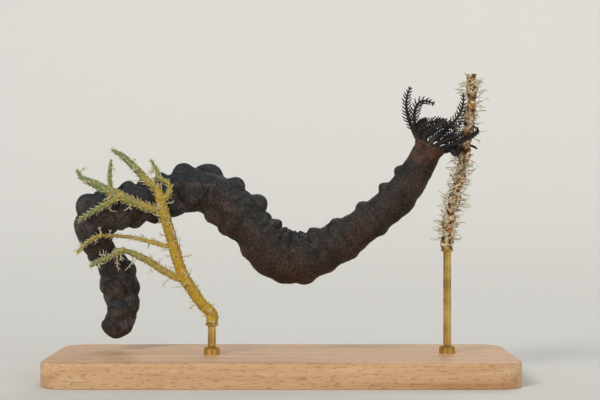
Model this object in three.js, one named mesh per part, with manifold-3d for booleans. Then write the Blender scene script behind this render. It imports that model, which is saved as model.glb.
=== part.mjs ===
// A life-size still model of a synaptid sea cucumber, draped over a forked length of seaweed
// and holding a second stalk with its tentacles, on a plain display stand.
// Millimetres, +Z up. The animal runs along X, tail at -X and mouth at +X, and its front faces -Y.
// The origin is the middle of the stand's underside.
import * as THREE from "three";
import { mergeVertices } from "three/addons/utils/BufferGeometryUtils.js";
import Module from "manifold-3d";

const wasm = await Module();
wasm.setup();

// Driving dimensions
const GAP = 0.3;
const BASE_LENGTH = 184;
const BASE_DEPTH = 76;
const BASE_THICKNESS = 10;
const BASE_CORNER = 12;
const BASE_CORNER_STEPS = 5;
const BASE_CHAMFER = 1.2;
const ROD_RADIUS = 1.6;
const FERRULE_RADIUS = 3.2;
const FERRULE_HEIGHT = 3;
const REST_RADIUS = 2.6;
const REST_THICKNESS = 1;
const ROD_SIDES = 16;

// The middle of the body from the tail tip to the mouth: where it passes and its plain girth radius.
const BODY_ROUTE = [
  { at: [-69.1, 12, 14.9], radius: 4.0 },
  { at: [-66.2, 15, 22.8], radius: 5.4 },
  { at: [-65.1, 16.5, 31.7], radius: 6.4 },
  { at: [-67.9, 15.5, 41.7], radius: 6.4 },
  { at: [-74.4, 11, 50.4], radius: 3.4 },
  { at: [-77.3, 5, 59.1], radius: 7.9 },
  { at: [-70.9, -1, 67.6], radius: 7.7 },
  { at: [-61.7, -2.5, 68.8], radius: 7.6 },
  { at: [-53.8, -1.5, 69.6], radius: 7.3 },
  { at: [-44.8, 0, 73.2], radius: 7.3 },
  { at: [-34.1, 1, 77.4], radius: 8.4 },
  { at: [-24, 0, 71.2], radius: 8.8 },
  { at: [-14.9, -1.5, 63], radius: 8.6 },
  { at: [-6.9, -3, 51.8], radius: 10 },
  { at: [6.3, -3, 46.4], radius: 10.5 },
  { at: [21.1, -1.5, 53.1], radius: 7.8 },
  { at: [36, 0, 62.8], radius: 6.8 },
  { at: [48.8, 1.5, 74.1], radius: 6.6 },
  { at: [55.1, 1.5, 84.9], radius: 5.7 },
  { at: [58.5, 1.5, 91.2], radius: 5.7 },
];

// The lengths that the body is divided into, each from one route station to another.
const BODY_LENGTHS = [
  ["tail_tip", 0, 1.5],
  ["hanging_tail", 1.5, 3.9],
  ["rear_bend", 3.9, 6.6],
  ["rear_hump", 6.6, 9.4],
  ["mid_slope", 9.4, 12.2],
  ["mid_sag", 12.2, 14.6],
  ["fore_rise", 14.6, 16.8],
  ["neck", 16.8, 19],
];
const BODY_SIDES = 28;
const BODY_STEP = 2.3;
const TAIL_ROUNDING = 5;
const TAIL_END_RINGS = [0, 0.25, 0.9];
const TAIL_END_SHARE = 0.12;

// How finely the route is measured, and how far ahead and behind its direction is read, in stations
const STATION_SAMPLES = 40;
const STATION_AHEAD = 0.02;

// Knobs along the upper and lower outline, each as distance from the tail tip, turn in degrees from
// the upper side towards the front, footprint radius and height. The last two are broad pouches on
// the front and the back of the hump.
const OUTLINE_KNOBS = [
  [38.4, 5, 3.4, 1.6],
  [50.6, 348, 4, 1.6],
  [57.3, 4, 3.8, 3.9],
  [62.6, 3, 3, 1.6],
  [71.6, 356, 4, 2.5],
  [78, 8, 3.4, 2.6],
  [86.9, 352, 3.2, 2.8],
  [94.7, 6, 3.4, 2.9],
  [101.9, 356, 3.8, 2.8],
  [111.2, 3, 3.9, 3.2],
  [121, 357, 4.2, 4.1],
  [132.8, 3, 3.9, 2],
  [140, 357, 4.2, 1],
  [146, 4, 4.6, 0.6],
  [152.8, 357, 3.8, 0.8],
  [159.4, 358, 3.4, 1.5],
  [169.2, 5, 3.8, 1.7],
  [183, 355, 3.2, 1.9],
  [195.7, 4, 3.2, 2.1],
  [206.2, 356, 3, 1.9],
  [21.2, 175, 3.6, 1.6],
  [27.7, 168, 4.2, 3],
  [73.4, 182, 4.2, 2.2],
  [79.2, 170, 3.6, 1.8],
  [94.3, 178, 7, 1.4],
  [110.4, 182, 4, 1.5],
  [118.8, 180, 3.6, 1.3],
  [138.6, 182, 3.6, 0.7],
  [145.4, 176, 3.4, 1],
  [151.8, 179, 3.2, 1.4],
  [160.2, 184, 3, 0.9],
  [169.6, 175, 4.2, 1.2],
  [183.6, 182, 3.2, 0.9],
  [196.4, 176, 4.6, 1.2],
  [116.2, 2, 3.4, 0.9],
  [126.6, 359, 3, 0.8],
  [97.2, 105, 7.8, 2.6],
  [97.2, 255, 7.8, 2.2],
];

// Pouches of the body wall between its five long muscles: the row spacing and how proud they stand
// in the shortened rear half and in the stretched front half.
const POUCH_ROWS = 5;
const POUCH_SPACING = 10.5;
const POUCH_RADIUS = 6.0;
const POUCH_HEIGHT_REAR = 2;
const POUCH_HEIGHT_FRONT = 0.6;
const POUCH_BLEND = 0.5;
const POUCH_SCATTER = 0.5;
const POUCH_TURN_SCATTER = 0.35;
const POUCH_SIZES = [0.8, 1.15];
const POUCH_HEIGHTS = [0.6, 1.25];
const STRETCHED_FROM = [0.45, 0.62];
const HIDDEN_TAIL = 36;
const KNOB_REACH = 1.5;

// Clefts between the pouches, each as distance, turn, half length along the body, half width around
// it and depth: those down both flanks, and those across the underside.
const FLANK_CLEFTS = [
  [90.8, 100, 2.4, 10, 1],
  [97.4, 54, 6, 2.6, 0.9],
  [104.4, 92, 2.8, 12, 1.3],
  [116.2, 62, 3.4, 10, 1],
  [126.8, 58, 3.6, 10, 0.9],
  [136.8, 50, 3, 8, 0.5],
  [148.5, 48, 3, 9, 0.5],
];
const UNDERSIDE_CLEFTS = [
  [76, 180, 4.5, 7, 1.7],
  [105.8, 181, 4.5, 8, 1.7],
  [114.2, 180, 4, 7, 1.3],
  [127.4, 172, 6.5, 14, 3.4],
  [135, 180, 6, 8, 0.8],
  [155.5, 180, 5, 8, 0.9],
  [162.8, 180, 5, 8, 0.9],
  [178, 180, 6, 7, 0.8],
  [187.5, 180, 6, 7, 0.6],
];

// The crown: a low disc with a sloping seat for each tentacle and the mouth sunk in its middle.
// Radii are to the middle of the flats, heights from the end of the body.
const TENTACLE_COUNT = 15;
const DISC_FOOT_RADIUS = 5.8;
const SEAT_LOW = { radius: 6.2, height: 0.9 };
const SEAT_HIGH = { radius: 4.6, height: 2.9 };
const LIP = { radius: 2.7, height: 3.2 };
const MOUTH = { radius: 1.3, height: 1.6 };

// Each tentacle's reach, clockwise from the upper side towards the front: the place that pulls its
// outer half, and its tip, both from the middle of the mouth.
const TENTACLE_REACH = [
  { pull: [-7.7, -4.5, 24.2], tip: [2.4, -4.5, 18.0], twist: 70 },
  { pull: [-2.4, -9.5, 12.0], tip: [7.1, -9.5, 10.8] },
  { pull: [4.7, -14.5, 12.9], tip: [10.1, -12.5, 7.9] },
  { pull: [15.0, -9.5, 10.8], tip: [13.4, -6.5, 22.4] },
  { pull: [8.3, -13.5, 4.3], tip: [13.3, -12.5, 6.6] },
  { pull: [25.9, -4.1, 6.7], tip: [17.2, -4.1, 9.5] },
  { pull: [8.5, -11.5, -1.6], tip: [9.5, -15.5, -3.0] },
  { pull: [12.1, 0.0, 2.6], tip: [11.5, -7.0, -1.4] },
  { pull: [17.2, 10.5, 4.0], tip: [20.6, 7.5, 0.6] },
  { pull: [18.3, 12.5, 4.6], tip: [19.6, 7.5, 11.6] },
  { pull: [14.2, 16.5, 7.2], tip: [15.3, 11.5, 14.3] },
  { pull: [9.5, 19.5, 8.1], tip: [11.3, 17.5, 12.5] },
  { pull: [4.8, 18.5, 9.1], tip: [6.6, 20.5, 12.1] },
  { pull: [-1.5, 14.5, 11.2], tip: [1.1, 15.5, 13.6] },
  { pull: [-11.2, 2.5, 17.6], tip: [-6.6, 2.5, 25.7], twist: 75 },
];
const TENTACLE_LEAD = 6;
const TENTACLE_SIDES = 6;
const TENTACLE_STEPS = 11;
const TENTACLE_ROOT = { width: 0.9, depth: 1.15 };
const TENTACLE_TIP = { width: 0.24, depth: 0.24 };
const TENTACLE_SLIMMING = 1.5;

// The finger-like digits down both edges of each tentacle
const DIGITS_PER_SIDE = 9;
const DIGIT_FIRST = 0.3;
const DIGIT_LAST = 0.95;
const DIGIT_LENGTH = 1.9;
const DIGIT_THICKNESS = 0.36;
const DIGIT_SHARE = 0.8;
const DIGIT_SEAT = 0.3;
const DIGIT_LEAN = 0.55;
const DIGIT_CURL = 0.25;
const DIGIT_VIGOUR = [0.8, 1.15];
const DIGIT_FULLEST = 0.35;
const DIGIT_FADE = 1.6;
const DIGIT_CLEARANCE = 0.45;
const DIGIT_TRIES = [1, 0.8, 0.6];
const DIGIT_GRID = 60;
const DIGIT_ASIDE = [0.31, 0.52, 0.79];
const TWIST_REACH = 0.35;
const LINE_POINTS = 40;

// Points closer than this are one point of a mesh.
const MERGE_DISTANCE = 1e-4;

// The cut length of weed that the rear of the body drapes over. Each shoot has the shoot it grows
// from, its half thickness at root, middle and tip, its flatness and the line that it follows.
const WEED = {
  perch_weed_stem: {
    half: [2.4, 2.2, 2.0],
    flatness: 0.95,
    line: [
      [-27.8, -4, 22.3], [-27.8, -4, 25.9], [-31.3, -4.5, 29.5], [-36.4, -5.5, 36.7], [-39.9, -6.5, 43.5],
      [-42, -7.5, 50.5], [-43.9, -8.6, 57.4], [-45.7, -10.2, 64.3], [-47.2, -10.7, 69.6], [-48, -11, 72.8],
    ],
  },
  perch_weed_twig_1: {
    from: "perch_weed_stem",
    half: [1.6, 1.5, 0.5],
    flatness: 0.75,
    line: [
      [-48.0, -11, 73.0], [-49.4, -10.6, 75.9], [-53.0, -9.6, 78.7],
      [-57.9, -8, 83.8], [-63.0, -6.6, 88.6], [-67.6, -6, 91.2],
    ],
  },
  perch_weed_twig_2: {
    from: "perch_weed_stem",
    half: [1.1, 0.95, 0.4],
    flatness: 0.9,
    line: [
      [-47.0, -10.8, 70.4], [-44.6, -11.6, 73.2], [-43.9, -10.8, 76.3], [-45.5, -10, 78.5],
      [-47.9, -9.6, 79.5], [-49.6, -8, 83.4], [-52.1, -7, 87.4],
    ],
  },
  perch_weed_twig_3: {
    from: "perch_weed_stem",
    half: [1.2, 1.9, 0.5],
    flatness: 0.6,
    line: [
      [-46.7, -10.6, 66.5], [-51.7, -11.7, 68.1], [-56.9, -12, 70.0], [-63.0, -11.9, 72.8],
      [-69.1, -10.6, 75.3], [-73.6, -9.1, 77.5], [-79.4, -7, 80.3], [-81.2, -6.6, 83.5],
    ],
  },
  perch_weed_twig_4: {
    from: "perch_weed_twig_3",
    half: [1.1, 1.1, 0.4],
    flatness: 0.85,
    line: [
      [-63.0, -12.1, 72.8], [-68.1, -12.4, 69.8], [-72.9, -11.3, 67.3],
      [-77.9, -8.8, 64.5], [-80.6, -7, 62.9],
    ],
  },
  perch_weed_twig_5: {
    from: "perch_weed_twig_3",
    half: [0.9, 0.85, 0.4],
    flatness: 0.9,
    line: [[-67.1, -11.1, 74.5], [-67.6, -10.1, 79.1], [-67.7, -8.6, 83.0], [-67.2, -8, 87.4]],
  },
  perch_weed_twig_6: {
    from: "perch_weed_stem",
    half: [0.9, 0.7, 0.5],
    flatness: 0.9,
    line: [
      [-43.3, -8, 52.7], [-45.8, -6.8, 53.0], [-53.1, -5, 54.9], [-58.4, -3.4, 56.1], [-63.7, -2.6, 56.7],
      [-68.3, -3.8, 57.1], [-73.2, -6.1, 56.7], [-77.4, -7, 54.2], [-81.0, -6.6, 49.8],
    ],
  },
  perch_weed_twig_7: {
    from: "perch_weed_stem",
    half: [1.5, 1.4, 0.6],
    flatness: 0.85,
    line: [
      [-38.7, -6, 39.9], [-41.9, -6.4, 40.7], [-45.8, -6.4, 42.7],
      [-53.2, -6, 47.2], [-60.2, -5, 50.4], [-67.0, -4.5, 51.7],
    ],
  },
  perch_weed_twig_8: {
    from: "perch_weed_twig_7",
    half: [1.0, 1.0, 0.4],
    flatness: 0.85,
    line: [[-63.0, -4.8, 51.2], [-67.4, -4.6, 49.0], [-72.2, -4.6, 47.0], [-76.6, -4.6, 44.6]],
  },
};
const WEED_SIDES = 8;
const WEED_SIDE = [0.3, 0, 1];
const WEED_STEP = 3;

// The cut length of rough stalk that the tentacles hold
const STALK = {
  half: [2.2, 2.1, 1.9],
  flatness: 1,
  line: [
    [66.1, 0.5, 51.6], [66.1, 0.5, 57], [67.7, 0.5, 66.4], [69.7, 0.5, 74.4], [71.7, 0.5, 82.4],
    [73.1, 0.5, 90.4], [74.1, 0.5, 97.2], [75.3, 0.5, 106.4], [76.1, 0.5, 114.4], [75.9, 0.5, 121.6],
  ],
};
const STALK_SWELLING = 0.12;
const STALK_SWELLING_PITCH = 9;

// A repeatable fraction from 0 to 1 for each number, which varies the repeated forms.
function vary(seed) {
  const x = Math.sin(seed * 12.9898 + 4.1414) * 43758.5453;
  return x - Math.floor(x);
}

function mix(a, b, t) {
  return a + (b - a) * t;
}

function smoothStep(low, high, x) {
  const t = Math.min(1, Math.max(0, (x - low) / (high - low)));
  return t * t * (3 - 2 * t);
}

function smoothMax(a, b, blend) {
  const h = Math.max(0, blend - Math.abs(a - b)) / blend;
  return Math.max(a, b) + (h * h * blend) / 4;
}

// Cubic B-spline value between the route's stations, for one number of each station. The list is
// mirrored past its ends, so the curve starts at the first station and ends at the last.
function between(values, station) {
  const last = values.length - 1;
  const i = Math.min(last - 1, Math.max(0, Math.floor(station)));
  const t = station - i;
  const s = 1 - t;
  const before = i > 0 ? values[i - 1] : 2 * values[0] - values[1];
  const after = i + 2 <= last ? values[i + 2] : 2 * values[last] - values[last - 1];
  const near = 3 * t * t * t - 6 * t * t + 4;
  const far = 3 * s * s * s - 6 * s * s + 4;
  return (s * s * s * before + near * values[i] + far * values[i + 1] + t * t * t * after) / 6;
}

// A curve through stations that can be read by station or by distance, with a frame at each place.
class Route {
  constructor(stations) {
    this.columns = [0, 1, 2].map((axis) => stations.map((s) => s.at[axis]));
    this.radii = stations.map((s) => s.radius);
    this.marks = [0];
    const count = (stations.length - 1) * STATION_SAMPLES;
    for (let i = 1; i <= count; i += 1) {
      const step = this.point(i / STATION_SAMPLES).distanceTo(this.point((i - 1) / STATION_SAMPLES));
      this.marks.push(this.marks[i - 1] + step);
    }
    this.length = this.marks[count];
  }

  point(station) {
    return new THREE.Vector3(...this.columns.map((values) => between(values, station)));
  }

  radius(station) {
    return between(this.radii, station);
  }

  distance(station) {
    const place = station * STATION_SAMPLES;
    const i = Math.min(this.marks.length - 2, Math.floor(place));
    return mix(this.marks[i], this.marks[i + 1], place - i);
  }

  station(distance) {
    let i = this.marks.findIndex((mark) => mark > distance) - 1;
    if (i < 0) i = distance <= 0 ? 0 : this.marks.length - 2;
    return (i + (distance - this.marks[i]) / (this.marks[i + 1] - this.marks[i])) / STATION_SAMPLES;
  }

  // Forward along the route, the side that faces the viewer, and the upper side.
  frame(station) {
    const last = this.radii.length - 1;
    const ahead = this.point(Math.min(last, station + STATION_AHEAD));
    const forward = ahead.sub(this.point(Math.max(0, station - STATION_AHEAD))).normalize();
    const front = new THREE.Vector3(0, -1, 0);
    front.addScaledVector(forward, -front.dot(forward)).normalize();
    const upper = new THREE.Vector3().crossVectors(front, forward);
    return { forward, front, upper };
  }
}

// A closed mesh over rings of points, each ring with the same count, and a fan over each end.
function closedTube(rings) {
  const sides = rings[0].length;
  const points = rings.flat();
  const faces = [];
  for (let r = 0; r < rings.length - 1; r += 1) {
    for (let i = 0; i < sides; i += 1) {
      const j = (i + 1) % sides;
      const [a, b, c, d] = [r * sides + i, r * sides + j, (r + 1) * sides + j, (r + 1) * sides + i];
      faces.push(a, b, c, a, c, d);
    }
  }
  const middle = (ring) => ring.reduce((sum, p) => sum.add(p), new THREE.Vector3()).divideScalar(sides);
  const start = points.push(middle(rings[0])) - 1;
  const end = points.push(middle(rings[rings.length - 1])) - 1;
  const lastRing = (rings.length - 1) * sides;
  for (let i = 0; i < sides; i += 1) {
    const j = (i + 1) % sides;
    faces.push(start, j, i);
    faces.push(end, lastRing + i, lastRing + j);
  }
  return geometryOf(points, faces);
}

function geometryOf(points, faces) {
  const geometry = new THREE.BufferGeometry().setFromPoints(points);
  geometry.setIndex(faces);
  return geometry;
}

// A geometry as a manifold solid, and back.
function solidOf(geometry) {
  const plain = geometry.clone();
  plain.deleteAttribute("normal");
  plain.deleteAttribute("uv");
  const merged = mergeVertices(plain, MERGE_DISTANCE);
  return new wasm.Manifold(
    new wasm.Mesh({
      numProp: 3,
      vertProperties: new Float32Array(merged.attributes.position.array),
      triVerts: new Uint32Array(merged.index.array),
    }),
  );
}

// The largest closed surface of a solid, so that no loose scrap of a union stays.
function largest(solid) {
  return solid.decompose().sort((a, b) => b.volume() - a.volume())[0];
}

function geometryOfSolid(solid) {
  const mesh = solid.getMesh();
  const geometry = new THREE.BufferGeometry();
  geometry.setAttribute("position", new THREE.BufferAttribute(new Float32Array(mesh.vertProperties), 3));
  geometry.setIndex(new THREE.BufferAttribute(new Uint32Array(mesh.triVerts), 1));
  return geometry;
}

// The sea cucumber's body
const body = new Route(BODY_ROUTE);
const knobs = [];
const rowTurn = (2 * Math.PI) / POUCH_ROWS;

function pouchHeight(distance) {
  const share = smoothStep(...STRETCHED_FROM, distance / body.length);
  return mix(POUCH_HEIGHT_REAR, POUCH_HEIGHT_FRONT, share);
}

// The row on the upper side is the outline's own, apart from the part of the tail that hangs behind.
for (let row = 0; row < POUCH_ROWS; row += 1) {
  const reach = row === 0 ? HIDDEN_TAIL : body.length;
  for (let i = 0; (i + 1) * POUCH_SPACING < reach; i += 1) {
    const seed = row * 100 + i;
    const stagger = row % 2 === 0 ? 0.5 : 1;
    const distance = (i + stagger + POUCH_SCATTER * (vary(seed) - 0.5)) * POUCH_SPACING;
    knobs.push({
      distance,
      turn: (row + POUCH_TURN_SCATTER * (vary(seed + 0.3) - 0.5)) * rowTurn,
      radius: POUCH_RADIUS * mix(...POUCH_SIZES, vary(seed + 0.5)),
      height: pouchHeight(distance) * mix(...POUCH_HEIGHTS, vary(seed + 0.7)),
    });
  }
}
for (const [distance, turn, radius, height] of OUTLINE_KNOBS) {
  knobs.push({ distance, turn: THREE.MathUtils.degToRad(turn), radius, height });
}

const clefts = [...UNDERSIDE_CLEFTS];
for (const [distance, turn, ...size] of FLANK_CLEFTS) {
  clefts.push([distance, turn, ...size], [distance, -turn, ...size]);
}

// The angle from one turn to another, at most half a turn either way.
function turnFrom(from, to) {
  return Math.atan2(Math.sin(to - from), Math.cos(to - from));
}

// How deep the clefts cut in at a place on the body, sharp at the bottom with rounded shoulders.
function cleft(distance, turn, girth) {
  let depth = 0;
  for (const [place, side, along, around, deepest] of clefts) {
    const across = turnFrom(THREE.MathUtils.degToRad(side), turn) * girth;
    const share = Math.min(1, Math.hypot((distance - place) / along, across / around));
    depth = Math.max(depth, deepest * (1 - share) ** 2);
  }
  return depth;
}

// How far the wall stands proud of the plain girth at a place on the body.
function relief(distance, turn, girth) {
  let height = 0;
  for (const knob of knobs) {
    const along = distance - knob.distance;
    if (Math.abs(along) > knob.radius * KNOB_REACH) continue;
    const around = turnFrom(knob.turn, turn) * girth;
    const share = (along * along + around * around) / (knob.radius * knob.radius);
    height = smoothMax(height, knob.height * (1 - share), POUCH_BLEND);
  }
  return height - cleft(distance, turn, girth);
}

function bodyRing(distance, shift = 0) {
  const station = body.station(distance);
  const { forward, front, upper } = body.frame(station);
  const middle = body.point(station).addScaledVector(forward, shift);
  const tail = Math.min(1, distance / TAIL_ROUNDING);
  const rounding = Math.sqrt(Math.max(0, 1 - (1 - tail) * (1 - tail)));
  const girth = body.radius(station);
  const ring = [];
  for (let i = 0; i < BODY_SIDES; i += 1) {
    const turn = (2 * Math.PI * i) / BODY_SIDES;
    const reach = (girth + relief(distance, turn, girth)) * Math.max(TAIL_END_SHARE, rounding);
    const point = middle.clone();
    point.addScaledVector(upper, Math.cos(turn) * reach);
    point.addScaledVector(front, Math.sin(turn) * reach);
    ring.push(point);
  }
  return ring;
}

// One length of the body between two flat cuts, each half a gap away from its neighbour's.
function bodyLength(from, to) {
  const low = body.distance(from);
  const high = body.distance(to);
  const steps = Math.max(4, Math.round((high - low) / BODY_STEP));
  const rings = [];
  for (let i = 1; i < steps; i += 1) rings.push(bodyRing(mix(low, high, i / steps)));
  const start = from === 0 ? TAIL_END_RINGS.map((place) => bodyRing(place)) : [bodyRing(low, GAP / 2)];
  return closedTube([...start, ...rings, bodyRing(high, -GAP / 2)]);
}

// The disc that closes the body in front and carries the tentacles
const mouth = body.point(BODY_ROUTE.length - 1);
const crown = body.frame(BODY_ROUTE.length - 1);
const seatTurn = (2 * Math.PI) / TENTACLE_COUNT;

function crownSide(turn) {
  const side = crown.upper.clone().multiplyScalar(Math.cos(turn));
  return side.addScaledVector(crown.front, Math.sin(turn));
}

function crownPoint(turn, radius, height) {
  const point = mouth.clone().addScaledVector(crown.forward, height);
  return point.addScaledVector(crownSide(turn), radius);
}

function discRing({ radius, height }) {
  const ring = [];
  const corner = radius / Math.cos(seatTurn / 2);
  for (let i = 0; i < TENTACLE_COUNT; i += 1) ring.push(crownPoint(i * seatTurn, corner, height));
  return ring;
}

function oralDisc() {
  const foot = { radius: DISC_FOOT_RADIUS, height: GAP / 2 };
  return closedTube([foot, SEAT_LOW, SEAT_HIGH, LIP, MOUTH].map(discRing));
}

// The even places along a curve, each with its middle, its way forward and the two ways across it.
// These are carried from the root, where the first is side, and turn by twist degrees on the way out.
function placesAlong(curve, steps, side, twist = 0) {
  const carried = side.clone();
  const places = [];
  for (let i = 0; i <= steps; i += 1) {
    const share = i / steps;
    const forward = curve.getTangentAt(share);
    carried.addScaledVector(forward, -carried.dot(forward)).normalize();
    const turn = THREE.MathUtils.degToRad(twist) * smoothStep(0, TWIST_REACH, share);
    const across = carried.clone().applyAxisAngle(forward, turn);
    const through = new THREE.Vector3().crossVectors(forward, across);
    places.push({ share, middle: curve.getPointAt(share), forward, across, through });
  }
  return places;
}

// A closed shoot over the places of a curve. half(share) gives its half width and half depth, and
// grow makes it that much larger all over.
function shoot(places, sides, half, grow = 0) {
  const last = places.length - 1;
  const rings = places.map(({ share, middle, forward, across, through }, index) => {
    const { width, depth } = half(share);
    const end = (index === last) - (index === 0);
    const centre = middle.clone().addScaledVector(forward, end * grow);
    const ring = [];
    for (let k = 0; k < sides; k += 1) {
      const turn = (2 * Math.PI * (k + 0.5)) / sides;
      const point = centre.clone().addScaledVector(across, Math.cos(turn) * (width + grow));
      ring.push(point.addScaledVector(through, Math.sin(turn) * (depth + grow)));
    }
    return ring;
  });
  return closedTube(rings);
}

// The cut lengths of weed and stalk
const shoots = {};

function shootLine(line) {
  return new THREE.CatmullRomCurve3(line.map((at) => new THREE.Vector3(...at)), false, "centripetal");
}

// Half thickness that runs through its root, middle and tip values.
function taper([root, middle, tip], share) {
  return share < 0.5 ? mix(root, middle, share * 2) : mix(middle, tip, (share * 2 - 1) ** 2);
}

function weedShoot({ half, flatness, line }, grow) {
  const curve = shootLine(line);
  const steps = Math.round(curve.getLength() / WEED_STEP);
  const size = (share) => {
    const width = taper(half, share);
    return { width, depth: width * flatness };
  };
  return shoot(placesAlong(curve, steps, new THREE.Vector3(...WEED_SIDE)), WEED_SIDES, size, grow);
}

for (const [name, plan] of Object.entries(WEED)) {
  const whole = weedShoot(plan, 0);
  if (!plan.from) {
    shoots[name] = whole;
    continue;
  }
  const parent = solidOf(weedShoot(WEED[plan.from], GAP));
  shoots[name] = geometryOfSolid(largest(solidOf(whole).subtract(parent)));
}

// The stalk swells a little at even steps, as its crust does.
const stalkCurve = shootLine(STALK.line);
const stalkSteps = Math.round(stalkCurve.getLength() / WEED_STEP);

function stalkHalf(share) {
  const swelling = Math.sin((2 * Math.PI * share * stalkCurve.getLength()) / STALK_SWELLING_PITCH);
  const width = taper(STALK.half, share) * (1 + STALK_SWELLING * swelling);
  return { width, depth: width };
}
const stalkPlaces = placesAlong(stalkCurve, stalkSteps, new THREE.Vector3(0, -1, 0));
shoots.perch_stalk = shoot(stalkPlaces, WEED_SIDES, stalkHalf);

// The tentacles. Each starts square to its seat on the disc and tapers to a fine tip.
function tentacleCurve(index) {
  const turn = (index + 0.5) * seatTurn;
  const rise = SEAT_HIGH.height - SEAT_LOW.height;
  const run = SEAT_LOW.radius - SEAT_HIGH.radius;
  const away = crownSide(turn).multiplyScalar(rise).addScaledVector(crown.forward, run).normalize();
  const radius = (SEAT_LOW.radius + SEAT_HIGH.radius) / 2;
  const height = (SEAT_LOW.height + SEAT_HIGH.height) / 2;
  const root = crownPoint(turn, radius, height).addScaledVector(away, GAP);
  const { pull, tip } = TENTACLE_REACH[index];
  return new THREE.CubicBezierCurve3(
    root,
    root.clone().addScaledVector(away, TENTACLE_LEAD),
    new THREE.Vector3(...pull).add(mouth),
    new THREE.Vector3(...tip).add(mouth),
  );
}

function tentacleHalf(share) {
  const slim = share ** TENTACLE_SLIMMING;
  return {
    width: mix(TENTACLE_ROOT.width, TENTACLE_TIP.width, slim),
    depth: mix(TENTACLE_ROOT.depth, TENTACLE_TIP.depth, slim),
  };
}

function tentaclePlaces(index, steps) {
  const side = crownSide((index + 0.5) * seatTurn + Math.PI / 2);
  return placesAlong(tentacleCurves[index], steps, side, TENTACLE_REACH[index].twist);
}

const tentacleCurves = [];
for (let i = 0; i < TENTACLE_COUNT; i += 1) tentacleCurves.push(tentacleCurve(i));
const tentacleLines = tentacleCurves.map((curve) => curve.getSpacedPoints(LINE_POINTS));
const stalkLine = stalkCurve.getSpacedPoints(LINE_POINTS);

function nearest(line, point) {
  return Math.min(...line.map((place) => place.distanceTo(point)));
}

// Whether a digit's tip stays nearer to its own tentacle than to any other, and clear of the stalk.
function isClear(point, own) {
  const home = nearest(tentacleLines[own], point) + DIGIT_CLEARANCE;
  const stalkReach = STALK.half[0] * (1 + STALK_SWELLING) + DIGIT_CLEARANCE;
  if (nearest(stalkLine, point) < stalkReach) return false;
  return tentacleLines.every((line, i) => i === own || nearest(line, point) > home);
}

// A four-sided spike from a root inside the stem to its tip.
function spike(root, tip, thickness) {
  const forward = tip.clone().sub(root).normalize();
  const across = new THREE.Vector3(...DIGIT_ASIDE).cross(forward).normalize();
  const through = new THREE.Vector3().crossVectors(forward, across);
  const corners = [];
  for (const [a, b] of [[1, 0], [0, 1], [-1, 0], [0, -1]]) {
    const corner = root.clone().addScaledVector(across, a * thickness);
    corners.push(corner.addScaledVector(through, b * thickness));
  }
  const faces = [0, 2, 1, 0, 3, 2, 0, 1, 4, 1, 2, 4, 2, 3, 4, 3, 0, 4];
  return geometryOf([...corners, tip], faces);
}

function digitsOf(index) {
  const places = tentaclePlaces(index, DIGIT_GRID);
  const digits = [];
  for (let i = 0; i < DIGITS_PER_SIDE; i += 1) {
    const order = (i + 0.5) / DIGITS_PER_SIDE;
    const nearestPlace = Math.round(mix(DIGIT_FIRST, DIGIT_LAST, order) * DIGIT_GRID);
    const { share, middle, forward, across, through } = places[nearestPlace];
    const stem = tentacleHalf(share);
    for (const side of [-1, 1]) {
      const vigour = mix(...DIGIT_VIGOUR, vary(index * 40 + i * 2 + side * 0.4));
      const length = DIGIT_LENGTH * vigour * Math.sqrt(1 - DIGIT_FADE * (order - DIGIT_FULLEST) ** 2);
      const root = middle.clone().addScaledVector(across, side * stem.width * DIGIT_SEAT);
      const way = across.clone().multiplyScalar(side).addScaledVector(forward, DIGIT_LEAN);
      way.addScaledVector(through, DIGIT_CURL).normalize();
      const inside = stem.width * (1 - DIGIT_SEAT);
      const tips = DIGIT_TRIES.map((part) => root.clone().addScaledVector(way, inside + length * part));
      const tip = tips.find((point) => isClear(point, index));
      if (tip) digits.push(spike(root, tip, Math.min(DIGIT_THICKNESS, stem.depth * DIGIT_SHARE)));
    }
  }
  return digits;
}

function tentacle(index) {
  let solid = solidOf(shoot(tentaclePlaces(index, TENTACLE_STEPS), TENTACLE_SIDES, tentacleHalf));
  for (const digit of digitsOf(index)) solid = solid.add(solidOf(digit));
  return geometryOfSolid(largest(solid));
}

// The display stand: a flat board with two rods, each in a collar and with a small plate on top
// that a cut length rests on
function boardOutline(inset, height) {
  const ring = [];
  const radius = BASE_CORNER - inset;
  const [x, y] = [BASE_LENGTH / 2 - BASE_CORNER, BASE_DEPTH / 2 - BASE_CORNER];
  for (const [index, [sx, sy]] of [[1, 1], [-1, 1], [-1, -1], [1, -1]].entries()) {
    for (let i = 0; i <= BASE_CORNER_STEPS; i += 1) {
      const turn = (index + i / BASE_CORNER_STEPS) * (Math.PI / 2);
      const [dx, dy] = [Math.cos(turn) * radius, Math.sin(turn) * radius];
      ring.push(new THREE.Vector3(sx * x + dx, sy * y + dy, height));
    }
  }
  return ring;
}

function standBase() {
  const shoulder = BASE_THICKNESS - BASE_CHAMFER;
  const top = boardOutline(BASE_CHAMFER, BASE_THICKNESS);
  return closedTube([boardOutline(0, 0), boardOutline(0, shoulder), top]);
}

function standRod(top) {
  const foot = BASE_THICKNESS + GAP;
  const profile = [
    [0, foot],
    [FERRULE_RADIUS, foot],
    [FERRULE_RADIUS, foot + FERRULE_HEIGHT],
    [ROD_RADIUS, foot + FERRULE_HEIGHT],
    [ROD_RADIUS, top - REST_THICKNESS],
    [REST_RADIUS, top - REST_THICKNESS],
    [REST_RADIUS, top],
    [0, top],
  ];
  const rod = new THREE.LatheGeometry(profile.map(([r, h]) => new THREE.Vector2(r, h)), ROD_SIDES);
  return geometryOfSolid(solidOf(rod.rotateX(Math.PI / 2)));
}

const group = new THREE.Group();

function addPiece(name, geometry, material, [x, y, z] = [0, 0, 0]) {
  const mesh = new THREE.Mesh(geometry, material);
  mesh.name = name;
  mesh.position.set(x, y, z);
  group.add(mesh);
}

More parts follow.
